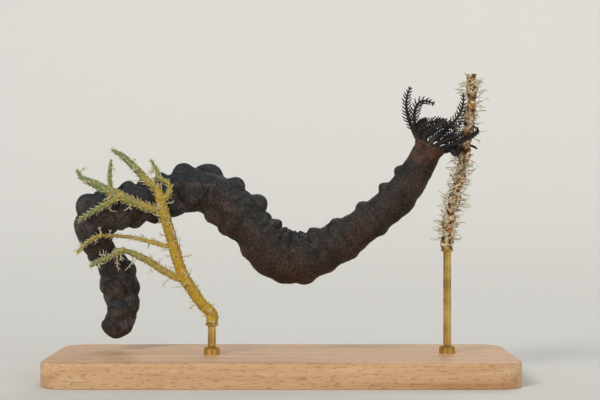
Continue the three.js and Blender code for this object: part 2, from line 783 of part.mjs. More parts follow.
const skin = new THREE.MeshStandardMaterial({ color: 0x3d302c, roughness: 0.6, metalness: 0 });
const crownSkin = new THREE.MeshStandardMaterial({ color: 0x3b3838, roughness: 0.6, metalness: 0 });
const weed = new THREE.MeshStandardMaterial({ color: 0xb08a34, roughness: 0.7, metalness: 0 });
const crust = new THREE.MeshStandardMaterial({ color: 0x8a6f52, roughness: 0.9, metalness: 0 });
const beech = new THREE.MeshStandardMaterial({ color: 0xc49a6c, roughness: 0.5, metalness: 0 });
const brass = new THREE.MeshStandardMaterial({ color: 0xb5915a, roughness: 0.3, metalness: 1 });

for (const [name, from, to] of BODY_LENGTHS) addPiece(name, bodyLength(from, to), skin);
addPiece("oral_disc", oralDisc(), crownSkin);
for (let i = 0; i < TENTACLE_COUNT; i += 1) {
  addPiece(`tentacle_${String(i + 1).padStart(2, "0")}`, tentacle(i), crownSkin);
}
for (const [name, geometry] of Object.entries(shoots)) {
  addPiece(name, geometry, name === "perch_stalk" ? crust : weed);
}
addPiece("stand_base", standBase(), beech);
const rodTops = { stand_rod_left: WEED.perch_weed_stem.line[0], stand_rod_right: STALK.line[0] };
for (const [name, [x, y, z]] of Object.entries(rodTops)) {
  addPiece(name, standRod(z - GAP), brass, [x, y, 0]);
}

export default group;
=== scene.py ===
"""The looks of a life-size model of a knobbly sea cucumber, on cut weed and a display stand, built
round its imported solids. Lengths are in metres, but the lists of points and the animal's sizes are in
millimetres and times MM where they are used. +Z is up and the front of the model faces -Y."""

import math

import bpy
import numpy as np
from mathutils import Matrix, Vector, noise
from mathutils.bvhtree import BVHTree


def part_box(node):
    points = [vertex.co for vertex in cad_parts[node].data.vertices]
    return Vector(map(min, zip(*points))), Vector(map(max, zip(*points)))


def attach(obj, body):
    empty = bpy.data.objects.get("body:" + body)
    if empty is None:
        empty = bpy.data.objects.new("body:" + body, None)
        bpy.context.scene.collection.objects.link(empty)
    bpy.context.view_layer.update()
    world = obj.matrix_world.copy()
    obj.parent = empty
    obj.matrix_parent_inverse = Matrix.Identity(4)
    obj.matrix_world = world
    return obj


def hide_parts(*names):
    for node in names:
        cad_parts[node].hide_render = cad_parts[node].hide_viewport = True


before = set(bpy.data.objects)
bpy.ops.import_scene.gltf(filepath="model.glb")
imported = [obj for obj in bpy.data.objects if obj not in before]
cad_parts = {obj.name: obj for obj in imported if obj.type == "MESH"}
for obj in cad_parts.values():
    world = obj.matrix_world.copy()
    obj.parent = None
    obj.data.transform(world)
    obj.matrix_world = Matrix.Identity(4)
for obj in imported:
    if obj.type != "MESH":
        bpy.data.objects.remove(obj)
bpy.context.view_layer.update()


# Board. The stand's base is one piece of beech, sawn to length, rounded at its corners and top edge,
# sanded and rubbed with oil. It lies on the floor and both rods stand in it.
MM = 0.001
BOARD_CORNER = 12 * MM
BOARD_CORNER_STEPS = 16
BOARD_EDGE = 1.2 * MM
BOARD_EDGE_STEPS = 5
BOARD_FOOT_EDGE = 0.4 * MM
BOARD_FACE_MARGIN = 0.5 * MM
BOARD_SHARP = math.radians(50)
BEECH_PALE = "#d6b088"
BEECH_WARM = "#bd8f63"
BEECH_FLECK = "#93643f"
BEECH_BAND = 5 * MM
BEECH_FIBRE = 0.7 * MM
BEECH_FLECK_SIZE = 0.6 * MM
BEECH_PORE_DEPTH = 0.05 * MM
BEECH_ALONG = 0.06
BEECH_FLECK_ALONG = 0.24

# Where a colour Mix node has its sockets, which share their names with its other sockets
MIX_FACTOR = 0
MIX_A = 6
MIX_B = 7
MIX_RESULT = 2


def linear(colour):
    """An sRGB colour, such as "#c49a6c", as linear red, green and blue with full alpha."""
    parts = [int(colour[i : i + 2], 16) / 255 for i in (1, 3, 5)]
    return (*[p / 12.92 if p <= 0.04045 else ((p + 0.055) / 1.055) ** 2.4 for p in parts], 1.0)


def add_node(tree, kind, inputs=None, **settings):
    """Adds one shader node and gives its outputs. An input takes a value or the socket that feeds it."""
    made = tree.nodes.new("ShaderNode" + kind)
    for name, value in settings.items():
        setattr(made, name, value)
    for name, value in (inputs or {}).items():
        if isinstance(value, bpy.types.NodeSocket):
            tree.links.new(value, made.inputs[name])
        else:
            made.inputs[name].default_value = value
    return made.outputs


def new_material(name):
    """A material with an empty node tree, and that tree."""
    material = bpy.data.materials.new(name)
    material.use_nodes = True
    material.node_tree.nodes.clear()
    return material, material.node_tree


def strength(tree, *parts):
    """How strong an effect is: its parts multiplied. A part is a socket, or a socket with the low and
    the high end of its range and, unless these stand for 0 and 1, what they stand for."""
    whole = None
    for part in parts:
        if isinstance(part, tuple):
            value, low, high, *meant = part
            least, most = meant or (0.0, 1.0)
            ends = {"From Min": low, "From Max": high, "To Min": least, "To Max": most}
            part = add_node(tree, "MapRange", {"Value": value, **ends})["Result"]
        if whole is not None:
            part = add_node(tree, "Math", {0: whole, 1: part}, operation="MULTIPLY")["Value"]
        whole = part
    return whole


def coated(tree, base, *coats):
    """A colour under coats of others. Each coat is its colour and the parts of its strength."""
    for colour, *parts in coats:
        under, over = (linear(c) if isinstance(c, str) else c for c in (base, colour))
        inputs = {MIX_FACTOR: strength(tree, *parts), MIX_A: under, MIX_B: over}
        base = add_node(tree, "Mix", inputs, data_type="RGBA")[MIX_RESULT]
    return base


def shell(rings, **marks):
    """Points, faces and marks of a closed form over rings of equally many points. A mark is one value
    for the form, for each ring or for each point."""
    rings = np.asarray(rings)
    count, sides, _ = rings.shape
    at = np.arange(count * sides).reshape(count, sides)
    beside = np.roll(at, -1, axis=1)
    quads = np.stack([at[:-1], beside[:-1], beside[1:], at[1:]], axis=-1).reshape(-1, 4)
    spread = {}
    for mark, values in marks.items():
        values = np.asarray(values, float)
        by_ring = values[:, None] if values.ndim == 1 else values
        spread[mark] = np.broadcast_to(by_ring, (count, sides)).ravel()
    return rings.reshape(-1, 3), [*quads.tolist(), at[0, ::-1].tolist(), at[-1].tolist()], spread


def new_mesh(name, points, faces, marks):
    """A mesh with a number on each point for every mark."""
    mesh = bpy.data.meshes.new(name)
    mesh.from_pydata(points.tolist(), [], faces)
    for mark, values in marks.items():
        layer = mesh.attributes.new(mark, "FLOAT", "POINT")
        layer.data.foreach_set("value", values.astype(np.float32))
    return mesh


def add_piece(mesh, material, replaced, sharp=None):
    """Shows a mesh as a piece of the model, in the place of the solids that it replaces."""
    mesh.materials.clear()
    mesh.materials.append(material)
    mesh.shade_smooth()
    if sharp is not None:
        mesh.set_sharp_from_angle(angle=sharp)
    piece = bpy.data.objects.new(mesh.name, mesh)
    bpy.context.scene.collection.objects.link(piece)
    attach(piece, "root")
    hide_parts(*replaced)


board_low, board_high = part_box("stand_base")
board_top = board_high.z


def board_ring(inset, height):
    """The board's outline with round corners, that far in from its sides."""
    radius = BOARD_CORNER - inset
    half_x = (board_high.x - board_low.x) / 2 - BOARD_CORNER
    half_y = (board_high.y - board_low.y) / 2 - BOARD_CORNER
    ring = []
    for corner, (sx, sy) in enumerate([(1, 1), (-1, 1), (-1, -1), (1, -1)]):
        for turn in np.linspace(corner, corner + 1, BOARD_CORNER_STEPS) * math.pi / 2:
            x = sx * half_x + radius * math.cos(turn)
            y = sy * half_y + radius * math.sin(turn)
            ring.append((x, y, height))
    return ring


board_rings = [board_ring(BOARD_FOOT_EDGE, board_low.z), board_ring(0, board_low.z + BOARD_FOOT_EDGE)]
for turn in np.linspace(0, math.pi / 2, BOARD_EDGE_STEPS):
    inset = BOARD_EDGE * (1 - math.cos(turn))
    board_rings.append(board_ring(inset, board_top - BOARD_EDGE * (1 - math.sin(turn))))
board_rings.append(board_ring(BOARD_EDGE + BOARD_FACE_MARGIN, board_top))

# Oiled beech: pale pinkish-brown wood with faint straight bands along the board and the many short
# dark flecks that beech has, under a soft sheen. Its fibres are drawn coarser than they are, to show.
oiled_beech, tree = new_material("oiled_beech")
place = add_node(tree, "TexCoord")["Object"]
along = add_node(tree, "Mapping", {"Vector": place, "Scale": (BEECH_ALONG, 1, 1)})["Vector"]
short = add_node(tree, "Mapping", {"Vector": place, "Scale": (BEECH_FLECK_ALONG, 1, 1)})["Vector"]
band, fibre, fleck = (
    add_node(tree, "TexNoise", {"Vector": way, "Scale": 1 / size, "Detail": detail})["Fac"]
    for way, size, detail in [(along, BEECH_BAND, 3), (along, BEECH_FIBRE, 2), (short, BEECH_FLECK_SIZE, 0)]
)
wood = coated(tree, BEECH_PALE, (BEECH_WARM, (band, 0.35, 0.7)))
fibres = strength(tree, (fibre, 0, 1, 0.82, 1.12))
streaked = add_node(tree, "HueSaturation", {"Color": wood, "Value": fibres})["Color"]
flecked = coated(tree, streaked, (BEECH_FLECK, (fleck, 0.64, 0.72, 0, 0.5)))
sheen = strength(tree, (fibre, 0, 1, 0.38, 0.56))
pores = add_node(tree, "Bump", {"Height": fibre, "Distance": BEECH_PORE_DEPTH, "Strength": 0.5})["Normal"]
shader = add_node(tree, "BsdfPrincipled", {"Base Color": flecked, "Roughness": sheen, "Normal": pores})
add_node(tree, "OutputMaterial", {"Surface": shader["BSDF"]})
add_piece(new_mesh("beech_board", *shell(board_rings)), oiled_beech, ["stand_base"], BOARD_SHARP)


# Rods. Two brass rods, turned on a lathe with a collar where each goes into the board and a small
# plate on top, to which a screw from below holds the cut foot of the weed or of the stalk.
ROD_RADIUS = 1.6 * MM
COLLAR_RADIUS = 3.2 * MM
COLLAR_HEIGHT = 3 * MM
PLATE_RADIUS = 2.6 * MM
PLATE_THICKNESS = 1 * MM
TURNED_EDGE = 0.25 * MM
ROD_SUNK = 0.2 * MM
ROD_REACH = 0.3 * MM
ROD_SIDES = 48
ROD_SHARP = math.radians(32)
BRASS_CLEAN = "#d9b36a"
BRASS_DULL = "#a98548"
BRASS_CLOUD = 7 * MM
BRASS_LATHE_LINE = 0.5 * MM
BRASS_LINE_DEPTH = 0.02 * MM
BRASS_LINE_STRETCH = 0.02


def lathe(profile, sides, x=0.0, y=0.0):
    """A round shell from the radius and height of each of its edges."""
    turns = np.linspace(0, 2 * math.pi, sides, endpoint=False)
    return shell([[(x + r * math.cos(t), y + r * math.sin(t), h) for t in turns] for r, h in profile])


# Turned brass: warm yellow metal, polished and since gone slightly dull, with fine rings left by
# the lathe, drawn coarser than they are, to show.
turned_brass, tree = new_material("turned_brass")
place = add_node(tree, "TexCoord")["Object"]
stretch = (BRASS_LINE_STRETCH, BRASS_LINE_STRETCH, 1)
round_it = add_node(tree, "Mapping", {"Vector": place, "Scale": stretch})["Vector"]
cloud = add_node(tree, "TexNoise", {"Vector": place, "Scale": 1 / BRASS_CLOUD, "Detail": 4})["Fac"]
cut = add_node(tree, "TexNoise", {"Vector": round_it, "Scale": 1 / BRASS_LATHE_LINE, "Detail": 2})["Fac"]
dulled = strength(tree, (cloud, 0.4, 0.7))
metal = coated(tree, BRASS_CLEAN, (BRASS_DULL, dulled))
gloss = strength(tree, (dulled, 0, 1, 0.2, 0.38))
lines = add_node(tree, "Bump", {"Height": cut, "Distance": BRASS_LINE_DEPTH, "Strength": 0.4})["Normal"]
brass = {"Base Color": metal, "Metallic": 1.0, "Roughness": gloss, "Normal": lines}
shader = add_node(tree, "BsdfPrincipled", brass)
add_node(tree, "OutputMaterial", {"Surface": shader["BSDF"]})

for side in ("left", "right"):
    node = f"stand_rod_{side}"
    low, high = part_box(node)
    top = high.z + ROD_REACH
    under = top - PLATE_THICKNESS
    shoulder = board_top + COLLAR_HEIGHT
    profile = [
        (COLLAR_RADIUS, board_top - ROD_SUNK),
        (COLLAR_RADIUS, shoulder - TURNED_EDGE * 3),
        (COLLAR_RADIUS - TURNED_EDGE, shoulder - TURNED_EDGE * 2),
        (COLLAR_RADIUS - TURNED_EDGE, shoulder - TURNED_EDGE),
        (COLLAR_RADIUS - TURNED_EDGE * 2, shoulder),
        (ROD_RADIUS + TURNED_EDGE, shoulder),
        (ROD_RADIUS, shoulder + TURNED_EDGE),
        (ROD_RADIUS, under - TURNED_EDGE),
        (ROD_RADIUS + TURNED_EDGE, under),
        (PLATE_RADIUS - TURNED_EDGE, under),
        (PLATE_RADIUS, under + TURNED_EDGE),
        (PLATE_RADIUS, top - TURNED_EDGE),
        (PLATE_RADIUS - TURNED_EDGE, top),
    ]
    turned = lathe(profile, ROD_SIDES, (low.x + high.x) / 2, (low.y + high.y) / 2)
    add_piece(new_mesh(f"brass_rod_{side}", *turned), turned_brass, [node], ROD_SHARP)


# Stalk. The cut length that the tentacles hold: an old bare stem with a hard crust of ochre, cream
# and dark brown growth over it and short pale side sprigs, cut square and screwed to its rod.
STALK_LINE = [
    (66.1, 0.5, 51.6), (66.1, 0.5, 57), (67.7, 0.5, 66.4), (69.7, 0.5, 74.4), (71.7, 0.5, 82.4),
    (73.1, 0.5, 90.4), (74.1, 0.5, 97.2), (75.3, 0.5, 106.4), (76.1, 0.5, 114.4), (75.9, 0.5, 121.6),
]
STALK_SIDE = (0, -1, 0)
STALK_HALF = (2.2, 2.1, 1.9)
STALK_SWELLING = 0.12
STALK_SWELLING_PITCH = 9 * MM
STALK_STEP = 0.3 * MM
STALK_SIDES = 56

# The crust's lumps: how wide and how high they are
STALK_LUMPS = [(2.8 * MM, 0.6 * MM), (1.2 * MM, 0.45 * MM), (0.6 * MM, 0.2 * MM)]
STALK_LUMP_FLOOR = -0.35 * MM

STALK_SEED = 7
STALK_SPRIGS = 260
STALK_SPRIG_REACH = (0.04, 0.97)
STALK_SPRIG_LEAN = (-0.2, 0.7)
CRUST_GAP = 0.12 * MM
CUT_FACE = 0.88
CURVE_POINTS = 24
TWIST_REACH = 0.35
ANY_SIDE = (0.31, 0.52, 0.79)
NOISE_STRIDE = (7.31, 3.17, 5.71)
GOLDEN_TURN = math.pi * (3 - math.sqrt(5))
SPRIG_LENGTH = (1.6 * MM, 4.6 * MM)
SPRIG_RADIUS = 0.23 * MM
SPRIG_TIP_RADIUS = 0.13 * MM
SPRIG_POINTS = 7
SPRIG_SIDES = 6
SPRIG_BEND = 0.5
SPRIG_SINK = 0.5 * MM
SPUR_LENGTH = (0.8 * MM, 1.8 * MM)
SPUR_COUNT = (3, 8)
SPUR_POINTS = 4
SPUR_AHEAD = 0.7
SPUR_SLIMNESS = (0.7, 0.8)
CLEAR_OF_ANIMAL = 0.45 * MM
CRUST_OCHRE = "#8a6a3e"
CRUST_GOLD = "#b87a2c"
CRUST_CREAM = "#d8d1bb"
CRUST_DARK = "#2e1d16"
SPRIG_CREAM = "#d6d0b6"
PITH = "#c9b78c"
CRUST_PATCH = 3.0 * MM
CRUST_SPECK = 1.8 * MM
CRUST_GRAIN = 0.35 * MM
CRUST_GRAIN_DEPTH = 0.12 * MM


def smooth_line(points):
    """Close points along the centripetal Catmull-Rom curve through a line's points."""
    points = np.asarray(points, float)
    whole = np.vstack([2 * points[0] - points[1], points, 2 * points[-1] - points[-2]])
    found = []
    for corners in zip(whole, whole[1:], whole[2:], whole[3:]):
        spans = [math.sqrt(np.linalg.norm(b - a)) for a, b in zip(corners, corners[1:])]
        knots = np.concatenate([[0], np.cumsum(spans)])
        t = np.linspace(knots[1], knots[2], CURVE_POINTS, endpoint=False)[:, None]
        level = list(corners)
        for reach in (1, 2):
            level = [
                ((knots[i + reach] - t) * a + (t - knots[i]) * b) / (knots[i + reach] - knots[i])
                for i, (a, b) in enumerate(zip(level, level[1:]))
            ]
        before, after = level
        found.append(((knots[2] - t) * before + (t - knots[1]) * after) / (knots[2] - knots[1]))
    return np.vstack([*found, points[-1:]])


def even_line(points, step):
    """Points at even distances of about step along a line."""
    marks = np.concatenate([[0], np.cumsum(np.linalg.norm(np.diff(points, axis=0), axis=1))])
    at = np.linspace(0, marks[-1], max(3, round(marks[-1] / step) + 1))
    return np.column_stack([np.interp(at, marks, column) for column in points.T])


def length_of(line):
    return np.linalg.norm(np.diff(line, axis=0), axis=1).sum()


def unit(vectors):
    return vectors / np.linalg.norm(vectors, axis=-1, keepdims=True)


def mix(low, high, share):
    return low + (high - low) * share


def smooth_step(low, high, x):
    """From 0 at low to 1 at high, easy at both ends."""
    t = np.clip((x - low) / (high - low), 0, 1)
    return t * t * (3 - 2 * t)


def carried_frames(line, side, twist=0.0):
    """The way along a line at each point and two ways across it, carried from its start. They turn by
    twist radians over the first part of the line."""
    forward = unit(np.gradient(line, axis=0))
    across = np.empty_like(line)
    carried = np.asarray(side, float)
    for i, way in enumerate(forward):
        carried = unit(carried - way * (carried @ way))
        across[i] = carried
    turn = twist * smooth_step(0, TWIST_REACH, np.linspace(0, 1, len(line)))[:, None]
    across = across * np.cos(turn) + np.cross(forward, across) * np.sin(turn)
    return forward, across, np.cross(forward, across)


def ring_ways(frames, sides):
    """The two parts, one along each way across, of the way outwards at each side round a line."""
    turns = 2 * math.pi * (np.arange(sides) + 0.5) / sides
    _, across, through = frames
    return np.cos(turns)[None, :, None] * across[:, None], np.sin(turns)[None, :, None] * through[:, None]


def three_way(values, share):
    """A size that runs through its root, middle and tip values."""
    root, middle, tip = values
    late = mix(middle, tip, (2 * share - 1) ** 2)
    return np.where(share < 0.5, mix(root, middle, share * 2), late)


def noise_at(points, size, seed):
    """Smooth noise from about -1 to 1 at each point, with lumps about size across."""
    start = Vector([seed * stride for stride in NOISE_STRIDE])
    values = [noise.noise(Vector(p) / size + start) for p in points.reshape(-1, 3)]
    return np.array(values).reshape(points.shape[:-1])


def tapered(line, radii, sides, **marks):
    """A closed round shell along a line with a radius at each point."""
    wide, deep = ring_ways(carried_frames(line, ANY_SIDE), sides)
    return shell(line[:, None] + (wide + deep) * np.asarray(radii)[:, None, None], **marks)


def gathered(shells):
    """Several shells that don't touch each other, as one."""
    points, faces, marks = [], [], {}
    start = 0
    for shell_points, shell_faces, shell_marks in shells:
        points.append(shell_points)
        faces.extend([[start + i for i in face] for face in shell_faces])
        for mark, values in shell_marks.items():
            marks.setdefault(mark, []).append(values)
        start += len(shell_points)
    return np.vstack(points), faces, {mark: np.concatenate(values) for mark, values in marks.items()}


def in_turns(sprigs):
    """Sprigs and their spurs as a few gathered shells, so that hardly any two in one of them touch."""
    groups = {}
    for i, (main, spurs) in enumerate(sprigs):
        groups.setdefault(("main", i % 2), []).extend(main)
        for order, spur in enumerate(spurs):
            groups.setdefault((order, i % 2), []).append(spur)
    return [gathered(group) for group in groups.values() if group]


def fused(name, shells):
    """One closed mesh of closed shells that run into each other. The first is the main one."""
    parts = bpy.data.collections.new(name + "_parts")
    bpy.context.scene.collection.children.link(parts)
    meshes = [new_mesh(f"{name}_part_{i}", *part) for i, part in enumerate(shells)]
    objects = [bpy.data.objects.new(mesh.name, mesh) for mesh in meshes]
    bpy.context.scene.collection.objects.link(objects[0])
    for part in objects[1:]:
        parts.objects.link(part)
    union = objects[0].modifiers.new("union", "BOOLEAN")
    union.operation = "UNION"
    union.operand_type = "COLLECTION"
    union.collection = parts
    union.solver = "MANIFOLD"
    ready = objects[0].evaluated_get(bpy.context.evaluated_depsgraph_get())
    whole = bpy.data.meshes.new_from_object(ready)
    whole.name = name
    for part in objects:
        bpy.data.objects.remove(part)
    for mesh in meshes:
        bpy.data.meshes.remove(mesh)
    bpy.data.collections.remove(parts)
    return whole


def relaxed(mesh, mark, rounds):
    """Evens out a mesh where its mark is high, so that forms flow into each other there."""
    points = np.empty(len(mesh.vertices) * 3, np.float32)
    mesh.vertices.foreach_get("co", points)
    points = points.reshape(-1, 3).astype(float)
    edges = np.empty(len(mesh.edges) * 2, np.int32)
    mesh.edges.foreach_get("vertices", edges)
    a, b = edges.reshape(-1, 2).T
    weight = np.empty(len(mesh.vertices), np.float32)
    mesh.attributes[mark].data.foreach_get("value", weight)
    weight = np.clip(weight, 0, 1)[:, None] / 2
    links = np.bincount(a, minlength=len(points)) + np.bincount(b, minlength=len(points))
    for _ in range(rounds):
        total = np.column_stack([
            np.bincount(a, points[b, k], len(points)) + np.bincount(b, points[a, k], len(points))
            for k in range(3)
        ])
        points += (total / np.maximum(links, 1)[:, None] - points) * weight
    mesh.vertices.foreach_set("co", points.astype(np.float32).ravel())
    mesh.update()


# The animal's solids, for keeping sprigs and teeth clear of it
animal_nodes = sorted(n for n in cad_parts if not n.startswith(("stand_", "perch_")))
solid_points, solid_faces = [], []
for node in animal_nodes:
    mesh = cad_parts[node].data
    start = len(solid_points)
    solid_points.extend(v.co.copy() for v in mesh.vertices)
    solid_faces.extend([start + i for i in face.vertices] for face in mesh.polygons)
animal_surface = BVHTree.FromPolygons(solid_points, solid_faces)


def is_clear_of_animal(line):
    """Whether every point of a line stays outside the animal, with a little room."""
    for point in line:
        nearest, normal, _, gap = animal_surface.find_nearest(Vector(point))
        if gap < CLEAR_OF_ANIMAL or (Vector(point) - nearest).dot(normal) < 0:
            return False
    return True


def room_to_animal(points):
    """How far each point is from the animal's solids."""
    gaps = [animal_surface.find_nearest(Vector(p))[3] for p in points.reshape(-1, 3)]
    return np.array(gaps).reshape(points.shape[:-1])


def bent_line(rng, root, way, length, count):
    """A short line that starts along way and wanders a little to one side."""
    bend = unit(rng.normal(size=3)) * SPRIG_BEND
    share = np.linspace(0, 1, count)[:, None]
    return root + (way + bend * share) * share * length


def sprig(rng, root, way, marks):
    """A thin side shoot as a list of one shell and its spurs as another, or two empty lists."""
    length = rng.uniform(*SPRIG_LENGTH)
    line = bent_line(rng, root - way * SPRIG_SINK, way, length + SPRIG_SINK, SPRIG_POINTS)
    if not is_clear_of_animal(line[2:]):
        return [], []
    ahead = unit(line[-1] - line[0])
    slim = np.array((SPRIG_RADIUS, SPRIG_TIP_RADIUS)) * SPUR_SLIMNESS
    spurs = []
    for order in range(rng.integers(*SPUR_COUNT)):
        place = line[2 + order % (SPRIG_POINTS - 3)]
        out = unit(ahead * SPUR_AHEAD + unit(rng.normal(size=3)))
        spur = bent_line(rng, place, out, rng.uniform(*SPUR_LENGTH), SPUR_POINTS)
        if is_clear_of_animal(spur):
            spurs.append(tapered(spur, np.linspace(*slim, SPUR_POINTS), SPRIG_SIDES - 1, **marks))
    radii = np.linspace(SPRIG_RADIUS, SPRIG_TIP_RADIUS, SPRIG_POINTS)
    return [tapered(line, radii, SPRIG_SIDES, **marks)], spurs


def cut_face(ring, middle):
    """The ring just inside a cut end's edge, which marks off its flat face."""
    return mix(middle, ring, CUT_FACE)[None]


stalk_line = even_line(smooth_line(STALK_LINE) * MM, STALK_STEP)
stalk_frames = carried_frames(stalk_line, STALK_SIDE)
share = np.linspace(0, 1, len(stalk_line))
swelling = np.sin(2 * math.pi * share * length_of(stalk_line) / STALK_SWELLING_PITCH)
stalk_radius = three_way(STALK_HALF, share) * MM * (1 + STALK_SWELLING * swelling)
wide, deep = ring_ways(stalk_frames, STALK_SIDES)
outward = wide + deep
rings = stalk_line[:, None] + outward * stalk_radius[:, None, None]
crust = sum(noise_at(rings, size, seed) * height for seed, (size, height) in enumerate(STALK_LUMPS))
crust = np.clip(crust, STALK_LUMP_FLOOR, room_to_animal(rings) - CRUST_GAP)
rings = rings + outward * crust[:, :, None]
rings = np.concatenate([cut_face(rings[0], stalk_line[0]), rings, cut_face(rings[-1], stalk_line[-1])])
is_end = np.isin(np.arange(len(rings)), (0, len(rings) - 1))
rng = np.random.default_rng(STALK_SEED)
sprigs = []
for i in range(STALK_SPRIGS):
    at = int(mix(*STALK_SPRIG_REACH, (i + rng.uniform(0, 1)) / STALK_SPRIGS) * (len(stalk_line) - 1))
    out = outward[at, int(i * GOLDEN_TURN / (2 * math.pi) * STALK_SIDES) % STALK_SIDES]
    way = unit(out + stalk_frames[0][at] * rng.uniform(*STALK_SPRIG_LEAN))
    sprigs.append(sprig(rng, stalk_line[at] + out * stalk_radius[at], way, {"sprig": 1, "cut": 0}))
stalk = fused("crusted_stalk", [shell(rings, sprig=0, cut=is_end), *in_turns(sprigs)])

# Hard crust on an old stem: dull and gritty, ochre and gold with cream and near-black brown patches.
# The cut faces show pale pith and the side sprigs are cream.
crusted_stem, tree = new_material("crusted_stem")
place = add_node(tree, "TexCoord")["Object"]
is_sprig = add_node(tree, "Attribute", attribute_name="sprig")["Fac"]
is_cut = add_node(tree, "Attribute", attribute_name="cut")["Fac"]
patch = add_node(tree, "TexNoise", {"Vector": place, "Scale": 1 / CRUST_PATCH, "Detail": 4})["Fac"]
rough = {"Vector": place, "Scale": 1 / CRUST_SPECK, "Detail": 5, "Roughness": 0.75}
speck = add_node(tree, "TexNoise", rough)["Fac"]
grain = add_node(tree, "TexNoise", {"Vector": place, "Scale": 1 / CRUST_GRAIN, "Detail": 2})["Fac"]
coloured = coated(
    tree,
    CRUST_OCHRE,
    (CRUST_GOLD, (patch, 0.42, 0.6)),
    (CRUST_DARK, (speck, 0.48, 0.43)),
    (CRUST_CREAM, (speck, 0.53, 0.58)),
    (PITH, is_cut),
    (SPRIG_CREAM, is_sprig),
)
grit = add_node(tree, "Bump", {"Height": grain, "Distance": CRUST_GRAIN_DEPTH, "Strength": 0.8})["Normal"]
shader = add_node(tree, "BsdfPrincipled", {"Base Color": coloured, "Roughness": 0.85, "Normal": grit})
add_node(tree, "OutputMaterial", {"Surface": shader["BSDF"]})
add_piece(stalk, crusted_stem, ["perch_stalk"])


# Weed. The cut length that the rear of the body lies over: one round stem, screwed to its rod, that
# forks into flattened shoots, all set with small pale teeth that grow out of it.

# Each shoot: half its thickness at root, middle and tip, how flat it is, how green at root and tip,
# how many side sprigs it has, and its line
WEED = {
    "stem": {
        "half": (2.4, 2.2, 2.0), "flatness": 0.95, "green": (0.0, 0.3), "sprigs": 30,
        "line": [
            (-27.8, -4, 22.3), (-27.8, -4, 25.9), (-31.3, -4.5, 29.5), (-36.4, -5.5, 36.7),
            (-39.9, -6.5, 43.5), (-42, -7.5, 50.5), (-43.9, -8.6, 57.4), (-45.7, -10.2, 64.3),
            (-47.2, -10.7, 69.6), (-48, -11, 72.8),
        ],
    },
    "twig_1": {
        "half": (1.6, 1.5, 0.5), "flatness": 0.75, "green": (0.3, 1.0), "sprigs": 8,
        "line": [
            (-48.0, -11, 73.0), (-49.4, -10.6, 75.9), (-53.0, -9.6, 78.7),
            (-57.9, -8, 83.8), (-63.0, -6.6, 88.6), (-67.6, -6, 91.2),
        ],
    },
    "twig_2": {
        "half": (1.1, 0.95, 0.4), "flatness": 0.9, "green": (0.2, 0.8), "sprigs": 4,
        "line": [
            (-47.0, -10.8, 70.4), (-44.6, -11.6, 73.2), (-43.9, -10.8, 76.3), (-45.5, -10, 78.5),
            (-47.9, -9.6, 79.5), (-49.6, -8, 83.4), (-52.1, -7, 87.4),
        ],
    },
    "twig_3": {
        "half": (1.2, 1.9, 0.5), "flatness": 0.6, "green": (0.3, 1.0), "sprigs": 8,
        "line": [
            (-46.7, -10.6, 66.5), (-51.7, -11.7, 68.1), (-56.9, -12, 70.0), (-63.0, -11.9, 72.8),
            (-69.1, -10.6, 75.3), (-73.6, -9.1, 77.5), (-79.4, -7, 80.3), (-81.2, -6.6, 83.5),
        ],
    },
    "twig_4": {
        "half": (1.1, 1.1, 0.4), "flatness": 0.85, "green": (0.5, 0.9), "sprigs": 1,
        "line": [
            (-63.0, -12.1, 72.8), (-68.1, -12.4, 69.8), (-72.9, -11.3, 67.3),
            (-77.9, -8.8, 64.5), (-80.6, -7, 62.9),
        ],
    },
    "twig_5": {
        "half": (0.9, 0.85, 0.4), "flatness": 0.9, "green": (0.6, 1.0), "sprigs": 1,
        "line": [(-67.1, -11.1, 74.5), (-67.6, -10.1, 79.1), (-67.7, -8.6, 83.0), (-67.2, -8, 87.4)],
    },
    "twig_6": {
        "half": (0.9, 0.7, 0.5), "flatness": 0.9, "green": (0.1, 0.5), "sprigs": 18,
        "line": [
            (-43.3, -8, 52.7), (-45.8, -6.8, 53.0), (-53.1, -5, 54.9), (-58.4, -3.4, 56.1),
            (-63.7, -2.6, 56.7), (-68.3, -3.8, 57.1), (-73.2, -6.1, 56.7), (-77.4, -7, 54.2),
            (-81.0, -6.6, 49.8),
        ],
    },
    "twig_7": {
        "half": (1.5, 1.4, 0.6), "flatness": 0.85, "green": (0.2, 0.8), "sprigs": 12,
        "line": [
            (-38.7, -6, 39.9), (-41.9, -6.4, 40.7), (-45.8, -6.4, 42.7),
            (-53.2, -6, 47.2), (-60.2, -5, 50.4), (-67.0, -4.5, 51.7),
        ],
    },
    "twig_8": {
        "half": (1.0, 1.0, 0.4), "flatness": 0.85, "green": (0.5, 0.9), "sprigs": 8,
        "line": [(-63.0, -4.8, 51.2), (-67.4, -4.6, 49.0), (-72.2, -4.6, 47.0), (-76.6, -4.6, 44.6)],
    },
}
WEED_SEED = 11
WEED_SIDE = (0.3, 0, 1)
WEED_STEP = 0.45 * MM
WEED_SIDES = 24

# Lumps of the weed: how wide they are, and how high as a share of its half-thickness
WEED_LUMPS = [(3.5 * MM, 0.12), (1.2 * MM, 0.06)]
WEED_LUMP_SEED = 5

WEED_TIP_ROUNDING = 1.5 * MM
WEED_TIP_AREA = 0.02
WEED_SPRIG_SCATTER = (0.2, 0.8)
WEED_SPRIG_LEAN = (-0.1, 0.8)
TWIG_SUNK = 1.4 * MM
TWIG_END_POINTS = 6
FORK_REACH = 2.2 * MM
FORK_FLARE = 0.25
FORK_SMOOTHING = 10
STEM_END_TAPER = 0.4
TOOTH_SPACING = 0.32 * MM
STEM_TOOTH_SPACING = 0.7 * MM
TOOTH_REACH = (0.04, 0.99)
TOOTH_SCATTER = (-0.05, 0.05)
TOOTH_LENGTH = (0.6 * MM, 1.5 * MM)
TOOTH_RADIUS = 0.22 * MM
TOOTH_SIDES = 5
TOOTH_SINK = 0.35 * MM
TOOTH_LEAN = (0.5, 1.1)
TOOTH_CURL = 0.3

